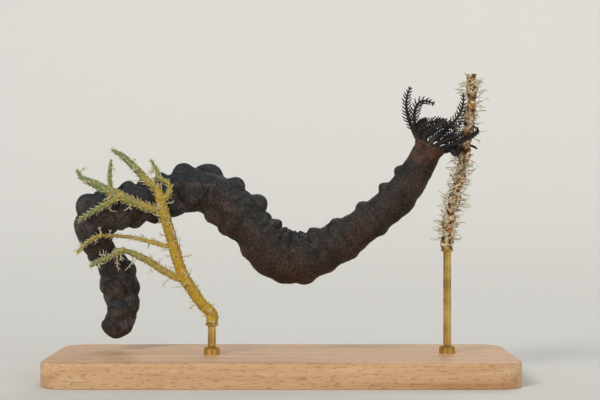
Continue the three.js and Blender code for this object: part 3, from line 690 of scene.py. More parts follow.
# Along a tooth: the share of its length and of its radius
TOOTH_SHAPE = np.array([(0.0, 1.0), (0.35, 0.8), (0.7, 0.5), (1.0, 0.18)])

WEED_OCHRE = "#b08d22"
WEED_BROWN = "#96681c"
WEED_OLIVE = "#747c40"
WEED_GREEN = "#5a6e47"
TOOTH_CREAM = "#c9c49a"
WEED_PATCH = 4 * MM
WEED_SPECK = 0.7 * MM
WEED_SPECK_DEPTH = 0.08 * MM


def rounded_end(left, least_area):
    """How wide a form is near its rounded end, as a share of its full width. Left is how much of the
    rounding's length is left to the end, and the end keeps a small share of the full area."""
    return np.sqrt(np.clip(1 - (1 - np.clip(left, 0, 1)) ** 2, least_area, 1))


def weed_line(plan, is_stem):
    """A shoot's middle line, carried on a little into the fork that it shares."""
    line = smooth_line(plan["line"]) * MM
    if is_stem:
        line = np.vstack([line, line[-1] + unit(line[-1] - line[-TWIG_END_POINTS]) * TWIG_SUNK])
    else:
        line = np.vstack([line[0] - unit(line[TWIG_END_POINTS] - line[0]) * TWIG_SUNK, line])
    return even_line(line, WEED_STEP)


def weed_tooth(rng, foot, out, ahead, green):
    """A small tooth that leans towards the tip of its shoot, or None where the animal lies."""
    lean = ahead * rng.uniform(*TOOTH_LEAN)
    way = unit(unit(out) + lean)
    length = rng.uniform(*TOOTH_LENGTH)
    grown, size = TOOTH_SHAPE.T
    line = foot + out - way * TOOTH_SINK + np.outer(grown * (length + TOOTH_SINK), way)
    line = line + np.outer(grown**2, lean) * length * TOOTH_CURL
    if not is_clear_of_animal(line[1:]):
        return None
    marks = {"green": green, "tooth": grown, "sprig": 0, "cut": 0, "fork": 0}
    return tapered(line, TOOTH_RADIUS * size, TOOTH_SIDES, **marks)


def weed_shoot(rng, plan, is_stem):
    """One shoot's blade, and its teeth and side sprigs as a few shells."""
    line = weed_line(plan, is_stem)
    length = length_of(line)
    frames = carried_frames(line, WEED_SIDE)
    share = np.linspace(0, 1, len(line))
    half = three_way(plan["half"], share) * MM
    if is_stem:
        fork = smooth_step(length - FORK_REACH, length, share * length)
        half = half * (1 - STEM_END_TAPER * fork)
    else:
        fork = smooth_step(TWIG_SUNK + FORK_REACH, TWIG_SUNK, share * length)
        half = half * (1 + FORK_FLARE * fork)
        half = half * rounded_end((1 - share) * length / WEED_TIP_ROUNDING, WEED_TIP_AREA)
    wide, deep = ring_ways(frames, WEED_SIDES)
    reach = (wide + deep * plan["flatness"]) * half[:, None, None]
    lumps = [noise_at(line[:, None] + reach, size, WEED_LUMP_SEED) * part for size, part in WEED_LUMPS]
    rings = line[:, None] + reach * (1 + sum(lumps))[:, :, None]
    green = mix(*plan["green"], share)
    marks = {"green": green, "fork": fork}
    if is_stem:
        rings = np.concatenate([cut_face(rings[0], line[0]), rings])
        marks = {mark: np.append(values[0], values) for mark, values in marks.items()}
    is_end = (np.arange(len(rings)) == 0) & is_stem
    blade = shell(rings, cut=is_end, tooth=0, sprig=0, **marks)
    teeth, sprigs = [], []
    spacing = STEM_TOOTH_SPACING if is_stem else TOOTH_SPACING
    for order, stop in enumerate(np.arange(*TOOTH_REACH, spacing / length)):
        at = int(stop * (len(line) - 1))
        turned = order * GOLDEN_TURN / (2 * math.pi) + rng.uniform(*TOOTH_SCATTER)
        out = reach[at, int(turned * WEED_SIDES) % WEED_SIDES]
        teeth.append(weed_tooth(rng, line[at], out, frames[0][at], green[at]))
    teeth = [tooth for tooth in teeth if tooth]
    for order in range(plan["sprigs"]):
        at = int((order + rng.uniform(*WEED_SPRIG_SCATTER)) / plan["sprigs"] * (len(line) - 1))
        out = reach[at, rng.integers(WEED_SIDES)]
        way = unit(unit(out) + frames[0][at] * rng.uniform(*WEED_SPRIG_LEAN))
        marks = {"green": green[at], "tooth": 0, "sprig": 1, "cut": 0, "fork": 0}
        sprigs.append(sprig(rng, line[at] + out, way, marks))
    return blade, [gathered(teeth[::2]), gathered(teeth[1::2]), *in_turns(sprigs)]


rng = np.random.default_rng(WEED_SEED)
blades, details = [], []
for name, plan in WEED.items():
    blade, detail = weed_shoot(rng, plan, name == "stem")
    blades.append(blade)
    details += detail
weed = fused("weed", blades + details)
relaxed(weed, "fork", FORK_SMOOTHING)

# Tough wet weed: waxy ochre-gold at the foot, greener towards the tips, with cream teeth and a soft
# sheen. Its cut foot and its sprigs have the colours of the stalk's.
waxy_weed, tree = new_material("waxy_weed")
place = add_node(tree, "TexCoord")["Object"]
green, tooth, is_sprig, is_cut = (
    add_node(tree, "Attribute", attribute_name=mark)["Fac"] for mark in ("green", "tooth", "sprig", "cut")
)
patch = add_node(tree, "TexNoise", {"Vector": place, "Scale": 1 / WEED_PATCH, "Detail": 3})["Fac"]
speck = add_node(tree, "TexNoise", {"Vector": place, "Scale": 1 / WEED_SPECK, "Detail": 3})["Fac"]
leafy = coated(tree, WEED_OLIVE, (WEED_GREEN, patch))
blade = coated(tree, WEED_OCHRE, (WEED_BROWN, (patch, 0.55, 0.75)), (leafy, (green, 0.15, 0.75)))
shade = strength(tree, (speck, 0.3, 0.7, 0.6, 1.4))
speckled = add_node(tree, "HueSaturation", {"Color": blade, "Value": shade})["Color"]
coloured = coated(
    tree, speckled, (TOOTH_CREAM, (tooth, 0.1, 0.5)), (PITH, is_cut), (SPRIG_CREAM, is_sprig)
)
wax = add_node(tree, "Bump", {"Height": speck, "Distance": WEED_SPECK_DEPTH, "Strength": 0.6})["Normal"]
shader = add_node(tree, "BsdfPrincipled", {"Base Color": coloured, "Roughness": 0.55, "Normal": wax})
add_node(tree, "OutputMaterial", {"Surface": shader["BSDF"]})
add_piece(weed, waxy_weed, sorted(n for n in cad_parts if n.startswith("perch_weed")))


# Animal. One soft body from the tail to the ring of tentacles round its mouth, in thin wet skin that
# swells into pouches over the rear half and wrinkles where the body bends inwards. It lies over the
# weed, and its fifteen tentacles, with small fingers along both sides, hold the stalk.

# Each station of the middle line: its place, and half the body's thickness there
BODY_ROUTE = [
    (-69.1, 12, 14.9, 4.0), (-66.2, 15, 22.8, 5.4), (-65.1, 16.5, 31.7, 6.4), (-67.9, 15.5, 41.7, 6.4),
    (-74.4, 11, 50.4, 3.4), (-77.3, 5, 59.1, 7.9), (-70.9, -1, 67.6, 7.7), (-61.7, -2.5, 68.8, 7.6),
    (-53.8, -1.5, 69.6, 7.3), (-44.8, 0, 73.2, 7.3), (-34.1, 1, 77.4, 8.4), (-24, 0, 71.2, 8.8),
    (-14.9, -1.5, 63, 8.6), (-6.9, -3, 51.8, 10), (6.3, -3, 46.4, 10.5), (21.1, -1.5, 53.1, 7.8),
    (36, 0, 62.8, 6.8), (48.8, 1.5, 74.1, 6.6), (55.1, 1.5, 84.9, 5.7), (58.5, 1.5, 91.2, 5.7),
]

# Each knob: distance from the tail, degrees from the upper side towards the front, radius and height
OUTLINE_KNOBS = [
    (38.4, 5, 3.4, 1.6), (50.6, 348, 4, 1.6), (57.3, 4, 3.8, 3.9), (62.6, 3, 3, 1.6),
    (71.6, 356, 4, 2.5), (78, 8, 3.4, 2.6), (86.9, 352, 3.2, 2.8), (94.7, 6, 3.4, 2.9),
    (101.9, 356, 3.8, 2.8), (111.2, 3, 3.9, 3.2), (121, 357, 4.2, 4.1), (132.8, 3, 3.9, 2),
    (140, 357, 4.2, 1), (146, 4, 4.6, 0.6), (152.8, 357, 3.8, 0.8), (159.4, 358, 3.4, 1.5),
    (169.2, 5, 3.8, 1.7), (183, 355, 3.2, 1.9), (195.7, 4, 3.2, 2.1), (206.2, 356, 3, 1.9),
    (21.2, 175, 3.6, 1.6), (27.7, 168, 4.2, 3), (73.4, 182, 4.2, 2.2), (79.2, 170, 3.6, 1.8),
    (94.3, 178, 7, 1.4), (110.4, 182, 4, 1.5), (118.8, 180, 3.6, 1.3), (138.6, 182, 3.6, 0.7),
    (145.4, 176, 3.4, 1), (151.8, 179, 3.2, 1.4), (160.2, 184, 3, 0.9), (169.6, 175, 4.2, 1.2),
    (183.6, 182, 3.2, 0.9), (196.4, 176, 4.6, 1.2), (116.2, 2, 3.4, 0.9), (126.6, 359, 3, 0.8),
]
HUMP_POUCHES = [(97.2, 105, 7.8, 2.6), (97.2, 255, 7.8, 2.2)]

# Each cleft: distance and degrees as for a knob, reach along and round the body, and depth
FLANK_CLEFTS = [
    (90.8, 100, 2.4, 10, 1), (97.4, 54, 6, 2.6, 0.9), (104.4, 92, 2.8, 12, 1.3), (116.2, 62, 3.4, 10, 1),
    (126.8, 58, 3.6, 10, 0.9), (136.8, 50, 3, 8, 0.5), (148.5, 48, 3, 9, 0.5),
]
UNDERSIDE_CLEFTS = [
    (76, 180, 4.5, 7, 1.7), (105.8, 181, 4.5, 8, 1.7), (114.2, 180, 4, 7, 1.3),
    (127.4, 172, 6.5, 14, 3.4), (135, 180, 6, 8, 0.8), (155.5, 180, 5, 8, 0.9), (162.8, 180, 5, 8, 0.9),
    (178, 180, 6, 7, 0.8), (187.5, 180, 6, 7, 0.6),
]

POUCH_ROWS = 5
POUCH_SPACING = 10.5
POUCH_RADIUS = 6.0
POUCH_HEIGHT_REAR = 2.0
POUCH_HEIGHT_FRONT = 0.6
POUCH_SCATTER = 0.5
POUCH_TURN_SCATTER = 0.35
POUCH_SIZES = (0.8, 1.15)
POUCH_HEIGHTS = (0.6, 1.25)
STRETCHED_FROM = (0.45, 0.62)
HIDDEN_TAIL = 36
POUCH_BLEND = 0.85
KNOB_BLEND = 0.5
HUMP_BLEND = 1.3
KNOB_REACH = 1.5
CREST_HEIGHT = 2.6
CREASE_FULL = 0.9
CREASE_WIDTH = (0.1, 0.7)
CREASE_DEPTH = 0.16
GATHERED_FROM = (118, 132)
GATHERED_TO = (180, 166)
LEAST_SLACK = 0.25
BEND_REACH = 3.6
FOLD_SPACING = 5.2
FOLD_WANDER = (9.0, 0.55)
FOLD_SHARPNESS = 1.1
FOLD_DEPTH = 0.8
FOLD_SEED = 2
FOLD_BEND = (-0.5, 0.2)
WRINKLE_SPACING = 1.9
WRINKLE_WANDER = (5.0, 0.5)
WRINKLE_SHARPNESS = 1.5
WRINKLE_DEPTH = 0.28
WRINKLE_SEED = 4
WRINKLE_FAINT = 0.07
WRINKLE_BEND = (0.05, 0.35)
GROOVE_BREAKS = (-0.45, 0.3)
GROOVE_BREAK_SIZE = 0.6

# Fine lumps of the skin: how wide and how high they are
WARTS = [(5.0, 0.2), (2.4, 0.13), (1.1, 0.08)]
WART_SEED = 10

TAIL_ROUNDING = 5
TAIL_END_AREA = 0.12**2
PUCKER_SHARE = 0.55
PUCKER_DEPTH = 0.5
SKIN_STEP = 0.45
SKIN_SIDES = 128
STATION_SAMPLES = 40
RIM_FADE = 3.5
COLLAR_FADE = (9.0, 2.0)
CREASE_SHADE = 0.6
GATHER_SHADE = (0.3, 0.5)
CLEFT_SHADE = (0.3, 0.8)
MOUTH_FORWARD = np.array((0.447, 0, 0.894))
MOUTH_UPPER = np.array((-0.894, 0, 0.447))
MOUTH_FRONT = np.array((0, -1, 0))

# The rings of the oral disc: the radius of each and its height over the body's end
DISC_PROFILE = [
    (5.95, 0.35), (6.15, 0.8), (6.15, 1.3), (5.8, 1.9), (5.2, 2.5), (4.5, 3.0), (3.7, 3.3),
    (2.9, 3.35), (2.3, 3.1), (1.8, 2.6), (1.4, 2.0), (1.0, 1.3), (0.5, 0.9),
]
DISC_SCALLOP = 0.035
DISC_SCALLOP_REACH = (0.5, 4)

# Each tentacle: the point that its end comes from and its tip, both from the mouth, and its twist
TENTACLES = [
    ((-7.7, -4.5, 24.2), (2.4, -4.5, 18.0), 70), ((-2.4, -9.5, 12), (7.1, -9.5, 10.8), 0),
    ((4.7, -14.5, 12.9), (10.1, -12.5, 7.9), 0), ((15, -9.5, 10.8), (13.4, -6.5, 22.4), 0),
    ((8.3, -13.5, 4.3), (13.3, -12.5, 6.6), 0), ((25.9, -4.1, 6.7), (17.2, -4.1, 9.5), 0),
    ((8.5, -11.5, -1.6), (9.5, -15.5, -3.0), 0), ((12.1, 0, 2.6), (11.5, -7, -1.4), 0),
    ((17.2, 10.5, 4), (20.6, 7.5, 0.6), 0), ((18.3, 12.5, 4.6), (19.6, 7.5, 11.6), 0),
    ((14.2, 16.5, 7.2), (15.3, 11.5, 14.3), 0), ((9.5, 19.5, 8.1), (11.3, 17.5, 12.5), 0),
    ((4.8, 18.5, 9.1), (6.6, 20.5, 12.1), 0), ((-1.5, 14.5, 11.2), (1.1, 15.5, 13.6), 0),
    ((-11.2, 2.5, 17.6), (-6.6, 2.5, 25.7), 75),
]

SEAT_RADIUS = 5.4
SEAT_HEIGHT = 1.9
SEAT_GAP = 0.3
TENTACLE_RISE = 2.0
TENTACLE_RUN = 1.6
TENTACLE_LEAD = 6
TENTACLE_ROOT = (0.95, 1.15)
TENTACLE_TIP = 0.26
TENTACLE_TAPER = 1.15
TENTACLE_ROUNDING = 0.5
TENTACLE_TIP_AREA = 0.1
TENTACLE_STEP = 0.3
TENTACLE_SIDES = 14
TENTACLE_SUNK = 1.3
CURVE_SAMPLES = 160
FLARE = 0.4
FLARE_REACH = 1.8
RING_PITCH = 0.9
RING_DEPTH = 0.05
JOINT_FADE = (0.3, 1.6)
ARM_START = 0.001
ARM_MARKS = {"crest": 0, "crease_and_painted_shade": 0, "fore": 1, "collar": 1}
DIGITS = 13
DIGIT_REACH = (0.26, 0.95)
DIGIT_LENGTH = 2.0
DIGIT_VIGOUR = (0.8, 1.15)
DIGIT_WAYS = (1.0, 0.55, 0.25)
DIGIT_FALL = (1.75, 0.3)
DIGIT_ROOT = 0.3
DIGIT_POINTS = 7
DIGIT_SIDES = 7
DIGIT_RADIUS = (0.36, 0.2)
DIGIT_POINT = 0.6
DIGIT_CURL = 0.35
DIGIT_ROOM = 0.3
DIGIT_TRIES = (1, 0.85, 0.7, 0.55)
ROOT_SMOOTHING = 14

# For the fixed numbers that look random: their sine's stride, start and height, and how far apart
# the seeds are within a pouch, and from one row, tentacle or tentacle's side to the next
VARY_SINE = (12.9898, 4.1414, 43758.5453)
POUCH_SEEDS = (0, 0.3, 0.5, 0.7)
ROW_SEEDS = 100
TENTACLE_SEEDS = 50
SIDE_SEEDS = 25

SKIN_DARK = "#221d1b"
SKIN_BROWN = "#453d39"
SKIN_CHESTNUT = "#392b24"
SKIN_RED = "#45312a"
# The grey of the skin's top, partly its own colour and partly painted light from above
SKIN_TOP_LIGHT_GREY = "#212d34"
FORE_TOP_LIGHT_GREY = "#353837"
# The dark of the painted shade in folds, creases and hollows
CREASE_SHADE_DARK = "#130e0c"
SKIN_SPECK = "#6f625a"
COLLAR_RED = "#62402f"
TENTACLE_GREY = "#2c292a"
# Tentacle bases: tan, partly their own colour and partly a painted glow of light through the thin skin
TENTACLE_TAN_AND_GLOW = "#59483d"
DIGIT_BLACK = "#1b191b"
SKIN_CLOUD = 4.5 * MM
SKIN_BLOTCH = 13 * MM
SKIN_GRAIN = 1.0 * MM
SKIN_LEATHER = 0.45 * MM
SPECK_SPACING = 0.8 * MM
SKIN_BUMP = 0.1 * MM


def vary(seed):
    """A fixed number from 0 to 1 that looks random."""
    stride, start, height = VARY_SINE
    value = math.sin(seed * stride + start) * height
    return value - math.floor(value)


def smooth_max(a, b, blend):
    overlap = np.maximum(0, blend - np.abs(a - b)) / blend
    return np.maximum(a, b) + overlap**2 * blend / 4


def along_route(stations):
    """The middle line and girth at each station, on a uniform cubic B-spline through mirrored ends."""
    points = np.array(BODY_ROUTE)
    whole = np.vstack([2 * points[0] - points[1], points, 2 * points[-1] - points[-2]])
    first = np.clip(np.floor(stations).astype(int), 0, len(points) - 2)
    t = (stations - first)[:, None]
    s = 1 - t
    weights = (s**3, 3 * t**3 - 6 * t**2 + 4, 3 * s**3 - 6 * s**2 + 4, t**3)
    found = sum(weight * whole[first + i] for i, weight in enumerate(weights))
    return found[:, :3] / 6, found[:, 3] / 6


stations = np.linspace(0, len(BODY_ROUTE) - 1, (len(BODY_ROUTE) - 1) * STATION_SAMPLES + 1)
sampled, _ = along_route(stations)
run = np.concatenate([[0], np.cumsum(np.linalg.norm(np.diff(sampled, axis=0), axis=1))])
body_length = run[-1]
distance = np.linspace(0, body_length, round(body_length / SKIN_STEP) + 1)
middle, girth = along_route(np.interp(distance, run, stations))
forward = unit(np.gradient(middle, axis=0))
front = unit(MOUTH_FRONT - forward * (forward @ MOUTH_FRONT)[:, None])
upper = np.cross(front, forward)
turns = 2 * math.pi * np.arange(SKIN_SIDES) / SKIN_SIDES
outward = upper[:, None] * np.cos(turns)[:, None] + front[:, None] * np.sin(turns)[:, None]
stretched = smooth_step(*STRETCHED_FROM, distance / body_length)


def pouches():
    """The swellings in staggered rows round the body: distance, turn, radius and height of each."""
    found = []
    for row in range(POUCH_ROWS):
        reach = HIDDEN_TAIL if row == 0 else body_length
        stagger = 0.5 if row % 2 == 0 else 1
        for i in range(math.ceil(reach / POUCH_SPACING) - 1):
            slide, swing, size, rise = (vary(row * ROW_SEEDS + i + seed) for seed in POUCH_SEEDS)
            place = (i + stagger + POUCH_SCATTER * (slide - 0.5)) * POUCH_SPACING
            turn = (row + POUCH_TURN_SCATTER * (swing - 0.5)) * 2 * math.pi / POUCH_ROWS
            taut = smooth_step(*STRETCHED_FROM, place / body_length)
            height = mix(POUCH_HEIGHT_REAR, POUCH_HEIGHT_FRONT, taut) * mix(*POUCH_HEIGHTS, rise)
            found.append((place, turn, POUCH_RADIUS * mix(*POUCH_SIZES, size), height))
    return found


def turned_from(turn):
    """How far each side is turned from another, from minus half a turn to half a turn."""
    return (turns - turn + math.pi) % (2 * math.pi) - math.pi


knobs = [(*pouch, POUCH_BLEND) for pouch in pouches()]
for listed, blend in ((OUTLINE_KNOBS, KNOB_BLEND), (HUMP_POUCHES, HUMP_BLEND)):
    knobs += [(place, math.radians(turn), radius, height, blend) for place, turn, radius, height in listed]
relief = np.zeros((len(distance), SKIN_SIDES))
highest = np.zeros_like(relief)
second = np.zeros_like(relief)
for place, turn, radius, height, blend in knobs:
    rows = np.abs(distance - place) <= KNOB_REACH * radius
    across = turned_from(turn)[None, :] * girth[rows, None]
    cap = height * (1 - ((distance[rows, None] - place) ** 2 + across**2) / radius**2)
    relief[rows] = smooth_max(relief[rows], cap, blend)
    second[rows] = np.maximum(second[rows], np.minimum(highest[rows], cap))
    highest[rows] = np.maximum(highest[rows], cap)
# How high each point stands on its pouch, and how deep in a crease between two. The crest sets painted
# light and shade, the crease a shallow groove and painted shade
crest = np.clip(highest / CREST_HEIGHT, 0, 1)
crease_and_painted_shade = (1 - smooth_step(*CREASE_WIDTH, highest - second)) * smooth_step(0, CREASE_FULL, second)

# Clefts, those of the flank on both sides of the body
cleft = np.zeros_like(relief)
clefts = UNDERSIDE_CLEFTS + [(p, side * t, *size) for p, t, *size in FLANK_CLEFTS for side in (1, -1)]
for place, turn, along, around, deepest in clefts:
    across = turned_from(math.radians(turn))[None, :] * girth[:, None]
    share = np.hypot((distance[:, None] - place) / along, across / around)
    cleft = np.maximum(cleft, deepest * np.clip(1 - share, 0, 1) ** 2)

# Skin folds on the side that a bend presses together
bend = np.gradient(forward, axis=0) / np.gradient(distance)[:, None]
kernel = np.hanning(2 * round(BEND_REACH / SKIN_STEP) + 1)
kernel /= kernel.sum()
bend = np.column_stack([np.convolve(column, kernel, "same") for column in bend.T])
pressed = np.einsum("ik,ijk->ij", bend, outward) * girth[:, None]
ground = middle[:, None] + outward * girth[:, None, None]
slack = smooth_step(*GATHERED_FROM, distance) * smooth_step(*GATHERED_TO, distance)
slack = mix(LEAST_SLACK, 1, slack)[:, None]


def groove(spacing, wander, sharpness, seed):
    """Soft grooves across the body, 1 in their middle, that wander and fade here and there."""
    size, share = wander
    phase = distance[:, None] / spacing + share * noise_at(ground, size, seed)
    broken = smooth_step(*GROOVE_BREAKS, noise_at(ground, size * GROOVE_BREAK_SIZE, seed + 1))
    return (1 - np.abs(np.sin(math.pi * phase))) ** sharpness * broken


folds = groove(FOLD_SPACING, FOLD_WANDER, FOLD_SHARPNESS, FOLD_SEED)
folds = folds * smooth_step(*FOLD_BEND, pressed) * slack
wrinkles = groove(WRINKLE_SPACING, WRINKLE_WANDER, WRINKLE_SHARPNESS, WRINKLE_SEED)
pinched = smooth_step(*WRINKLE_BEND, pressed) * slack
wrinkle = folds * FOLD_DEPTH + wrinkles * mix(WRINKLE_FAINT, WRINKLE_DEPTH, pinched)
warts = sum(noise_at(ground, size, WART_SEED + i) * height for i, (size, height) in enumerate(WARTS))
surface = relief - cleft - crease_and_painted_shade * CREASE_DEPTH - wrinkle + warts
fade = smooth_step(body_length, body_length - RIM_FADE, distance)[:, None]
tail = rounded_end(distance / TAIL_ROUNDING, TAIL_END_AREA)[:, None]
skin_rings = middle[:, None] + outward * ((girth[:, None] + surface * fade) * tail)[:, :, None]

# The tail's small pucker, and the lip and mouth inside the ring of tentacles
pucker = middle[0] + (skin_rings[0] - middle[0]) * PUCKER_SHARE + forward[0] * PUCKER_DEPTH
mouth = np.array(BODY_ROUTE[-1][:3])
mouth_out = MOUTH_UPPER * np.cos(turns)[:, None] + MOUTH_FRONT * np.sin(turns)[:, None]
lobes = 1 + DISC_SCALLOP * np.cos(len(TENTACLES) * turns - math.pi)
disc_rings = []
for radius, height in DISC_PROFILE:
    scallop = mix(1, lobes, smooth_step(*DISC_SCALLOP_REACH, radius))[:, None]
    disc_rings.append(mouth + MOUTH_FORWARD * height + mouth_out * radius * scallop)


def over_skin(values):
    """A mark for the whole skin, from pucker to mouth, from its values over the body's own rings."""
    values = np.broadcast_to(values, relief.shape)
    return np.concatenate([values[:1], values, np.broadcast_to(values[-1], (len(disc_rings), SKIN_SIDES))])


# Painted shade: how much darker the skin is painted where it gathers at bends, in folds, deep in clefts and
# in creases between pouches
painted_gather_shade = pinched * (GATHER_SHADE[0] + GATHER_SHADE[1] * wrinkles)
painted_cleft_shade = np.clip(cleft - CLEFT_SHADE[0], 0, CLEFT_SHADE[1])
collar = smooth_step(body_length - COLLAR_FADE[0], body_length - COLLAR_FADE[1], distance)
rings = np.concatenate([pucker[None], skin_rings, disc_rings]) * MM
skin_marks = {
    "crest": over_skin(crest),
    "crease_and_painted_shade": over_skin(np.maximum.reduce([crease_and_painted_shade * CREASE_SHADE, folds, painted_gather_shade, painted_cleft_shade])),
    "fore": over_skin(stretched[:, None]),
    "collar": over_skin(collar[:, None]),
    "arm": 0,
    "digit": 0,
    "joint": np.arange(len(rings)) >= len(rings) - len(disc_rings) - 2,
}
skin_shell = shell(rings, **skin_marks)


def bezier(a, b, c, d):
    t = np.linspace(0, 1, CURVE_SAMPLES)[:, None]
    s = 1 - t
    return s**3 * a + 3 * s**2 * t * b + 3 * s * t**2 * c + t**3 * d


def crown_side(turn):
    """The way from the middle of the mouth to its rim at a turn round it."""
    return MOUTH_UPPER * math.cos(turn) + MOUTH_FRONT * math.sin(turn)


# The tentacles' middle lines, each from its own seat on the oral disc
tentacle_lines = []
for index, (pull, tip, twist) in enumerate(TENTACLES):
    turn = (index + 0.5) * 2 * math.pi / len(TENTACLES)
    away = unit(crown_side(turn) * TENTACLE_RISE + MOUTH_FORWARD * TENTACLE_RUN)
    root = mouth + MOUTH_FORWARD * SEAT_HEIGHT + crown_side(turn) * SEAT_RADIUS + away * SEAT_GAP
    line = bezier(root, root + away * TENTACLE_LEAD, mouth + pull, mouth + tip)
    line = even_line(np.vstack([root - away * TENTACLE_SUNK, line]), TENTACLE_STEP)
    frames = carried_frames(line, crown_side(turn + math.pi / 2), math.radians(twist))
    tentacle_lines.append((line, frames))
stalk_middle = stalk_line / MM
stalk_reach = STALK_HALF[0] * (1 + STALK_SWELLING)


def tentacle_sizes(line):
    """At each point of a tentacle: its share of the line, how far along it is and both half-widths."""
    share = np.linspace(0, 1, len(line))
    along = share * length_of(line)
    flare = 1 + FLARE * (1 - smooth_step(0, FLARE_REACH + TENTACLE_SUNK, along))
    halves = [mix(half, TENTACLE_TIP, share**TENTACLE_TAPER) * flare for half in TENTACLE_ROOT]
    return share, along, halves


def tentacle_tube(line, frames):
    """One tentacle, softly ringed, without its digits."""
    share, along, halves = tentacle_sizes(line)
    ringed = 1 + RING_DEPTH * np.sin(2 * math.pi * along / RING_PITCH)
    blunt = rounded_end((along[-1] - along) / TENTACLE_ROUNDING, TENTACLE_TIP_AREA)
    rings = line[:, None]
    for half, way in zip(halves, ring_ways(frames, TENTACLE_SIDES)):
        rings = rings + way * (half * ringed * blunt)[:, None, None]
    joint = 1 - smooth_step(TENTACLE_SUNK + JOINT_FADE[0], TENTACLE_SUNK + JOINT_FADE[1], along)
    return shell(rings * MM, **ARM_MARKS, arm=share + ARM_START, digit=0, joint=joint)


def has_room(tip, others):
    """Whether a digit's tip is clear of the other tentacles and the stalk."""
    to_others = np.linalg.norm(others - tip, axis=1).min()
    to_stalk = np.linalg.norm(stalk_middle - tip, axis=1).min()
    return to_others >= TENTACLE_ROOT[0] + DIGIT_ROOM and to_stalk >= stalk_reach + DIGIT_ROOM


def digit_row(index, side, hand):
    """The digits along one side of a tentacle, each as long as it has room for."""
    line, frames = tentacle_lines[index]
    share, _, halves = tentacle_sizes(line)
    others = np.vstack([other for i, (other, _) in enumerate(tentacle_lines) if i != index])
    grown = np.linspace(0, 1, DIGIT_POINTS)
    radii = np.linspace(*DIGIT_RADIUS, DIGIT_POINTS) * MM
    radii[-1] *= DIGIT_POINT
    row = []
    for i in range(DIGITS):
        order = i / (DIGITS - 1)
        at = int(mix(*DIGIT_REACH, order) * (len(line) - 1))
        ahead, aside, down = (way[at] for way in frames)
        leaning = zip((aside * hand, ahead, down), DIGIT_WAYS)
        way = unit(sum(part * much for part, much in leaning))
        vigour = mix(*DIGIT_VIGOUR, vary(index * TENTACLE_SEEDS + side * SIDE_SEEDS + i))
        full = DIGIT_LENGTH * vigour * math.sqrt(1 - DIGIT_FALL[0] * (order - DIGIT_FALL[1]) ** 2)
        width = halves[0][at]
        root = line[at] + aside * hand * width * DIGIT_ROOT
        for part in DIGIT_TRIES:
            reach = width * (1 - DIGIT_ROOT) + full * part
            curl = ahead * grown[:, None] ** 2 * reach * DIGIT_CURL
            digit = root + way * reach * grown[:, None] + curl
            if has_room(digit[-1], others):
                marks = {**ARM_MARKS, "arm": share[at] + ARM_START, "digit": grown, "joint": 0}
                row.append(tapered(digit * MM, radii, DIGIT_SIDES, **marks))
                break
    return row


tubes = [tentacle_tube(line, frames) for line, frames in tentacle_lines]
digit_rows = [
    digit_row(index, side, hand)
    for index in range(len(TENTACLES))
    for side, hand in enumerate((1, -1))
]
skin = fused("animal_skin", [skin_shell, *tubes, *[gathered(row) for row in digit_rows if row]])
relaxed(skin, "joint", ROOT_SMOOTHING)

# Living skin: dark chocolate brown, redder below, and grey on top and on the tops of its pouches,
# partly its own colour and partly painted light from above, with painted shade in its folds,
# creases and hollows, a dense sprinkle of pale specks, drawn a little coarser than they are, to
# show, and a soft wet sheen. Tentacles are slate grey, tan at their bases, partly their own colour
# and partly a painted glow, and their fingers black.
speckled_skin, tree = new_material("speckled_skin")
place = add_node(tree, "TexCoord")["Object"]
lit = add_node(tree, "SeparateXYZ", {"Vector": add_node(tree, "NewGeometry")["Normal"]})["Z"]
crest, crease_and_painted_shade, fore, collar, arm, digit = (
    add_node(tree, "Attribute", attribute_name=mark)["Fac"]
    for mark in ("crest", "crease_and_painted_shade", "fore", "collar", "arm", "digit")
)
cloud, blotch, grain, leather = (
    add_node(tree, "TexNoise", {"Vector": place, "Scale": 1 / size, "Detail": detail})["Fac"]
    for size, detail in [(SKIN_CLOUD, 4), (SKIN_BLOTCH, 3), (SKIN_GRAIN, 3), (SKIN_LEATHER, 3)]
)
cells = add_node(tree, "TexVoronoi", {"Vector": place, "Scale": 1 / SPECK_SPACING, "Randomness": 1.0})
chosen = add_node(tree, "SeparateXYZ", {"Vector": cells["Color"]})["X"]
dotted = strength(
    tree, (cells["Distance"], 0.32, 0.14), (chosen, 0.15, 0.95, 0, 0.8), (blotch, 0.35, 0.6, 0.35, 1)
)
# Greyer where the skin faces up and on its pouch tops: partly its own colour, partly painted light from
# above
top_light_share = strength(tree, (lit, 0.15, 0.85, 0, 0.9))
high = add_node(tree, "Math", {0: crest, 1: 0.2, 2: top_light_share}, operation="MULTIPLY_ADD")["Value"]
brown = coated(tree, SKIN_BROWN, (SKIN_CHESTNUT, fore))
top_light_grey = coated(tree, SKIN_TOP_LIGHT_GREY, (FORE_TOP_LIGHT_GREY, fore))
plain = coated(
    tree,
    SKIN_DARK,
    (brown, (cloud, 0.38, 0.64)),
    (SKIN_RED, (lit, 0.45, -0.35), (blotch, 0.36, 0.6), (fore, 0, 1, 0.25, 0.8)),
    (top_light_grey, high, (blotch, 0.3, 0.62, 0.6, 1)),
)
# Fine mottling, times painted shade in the hollows between pouches and painted light on their crests
mottle_and_painted_shade = strength(
    tree, (grain, 0.36, 0.64, 0.55, 1.5), (leather, 0.35, 0.65, 0.6, 1.4), (crest, 0, 0.45, 0.8, 1.15)
)
mottled_and_shaded = add_node(tree, "HueSaturation", {"Color": plain, "Value": mottle_and_painted_shade})["Color"]
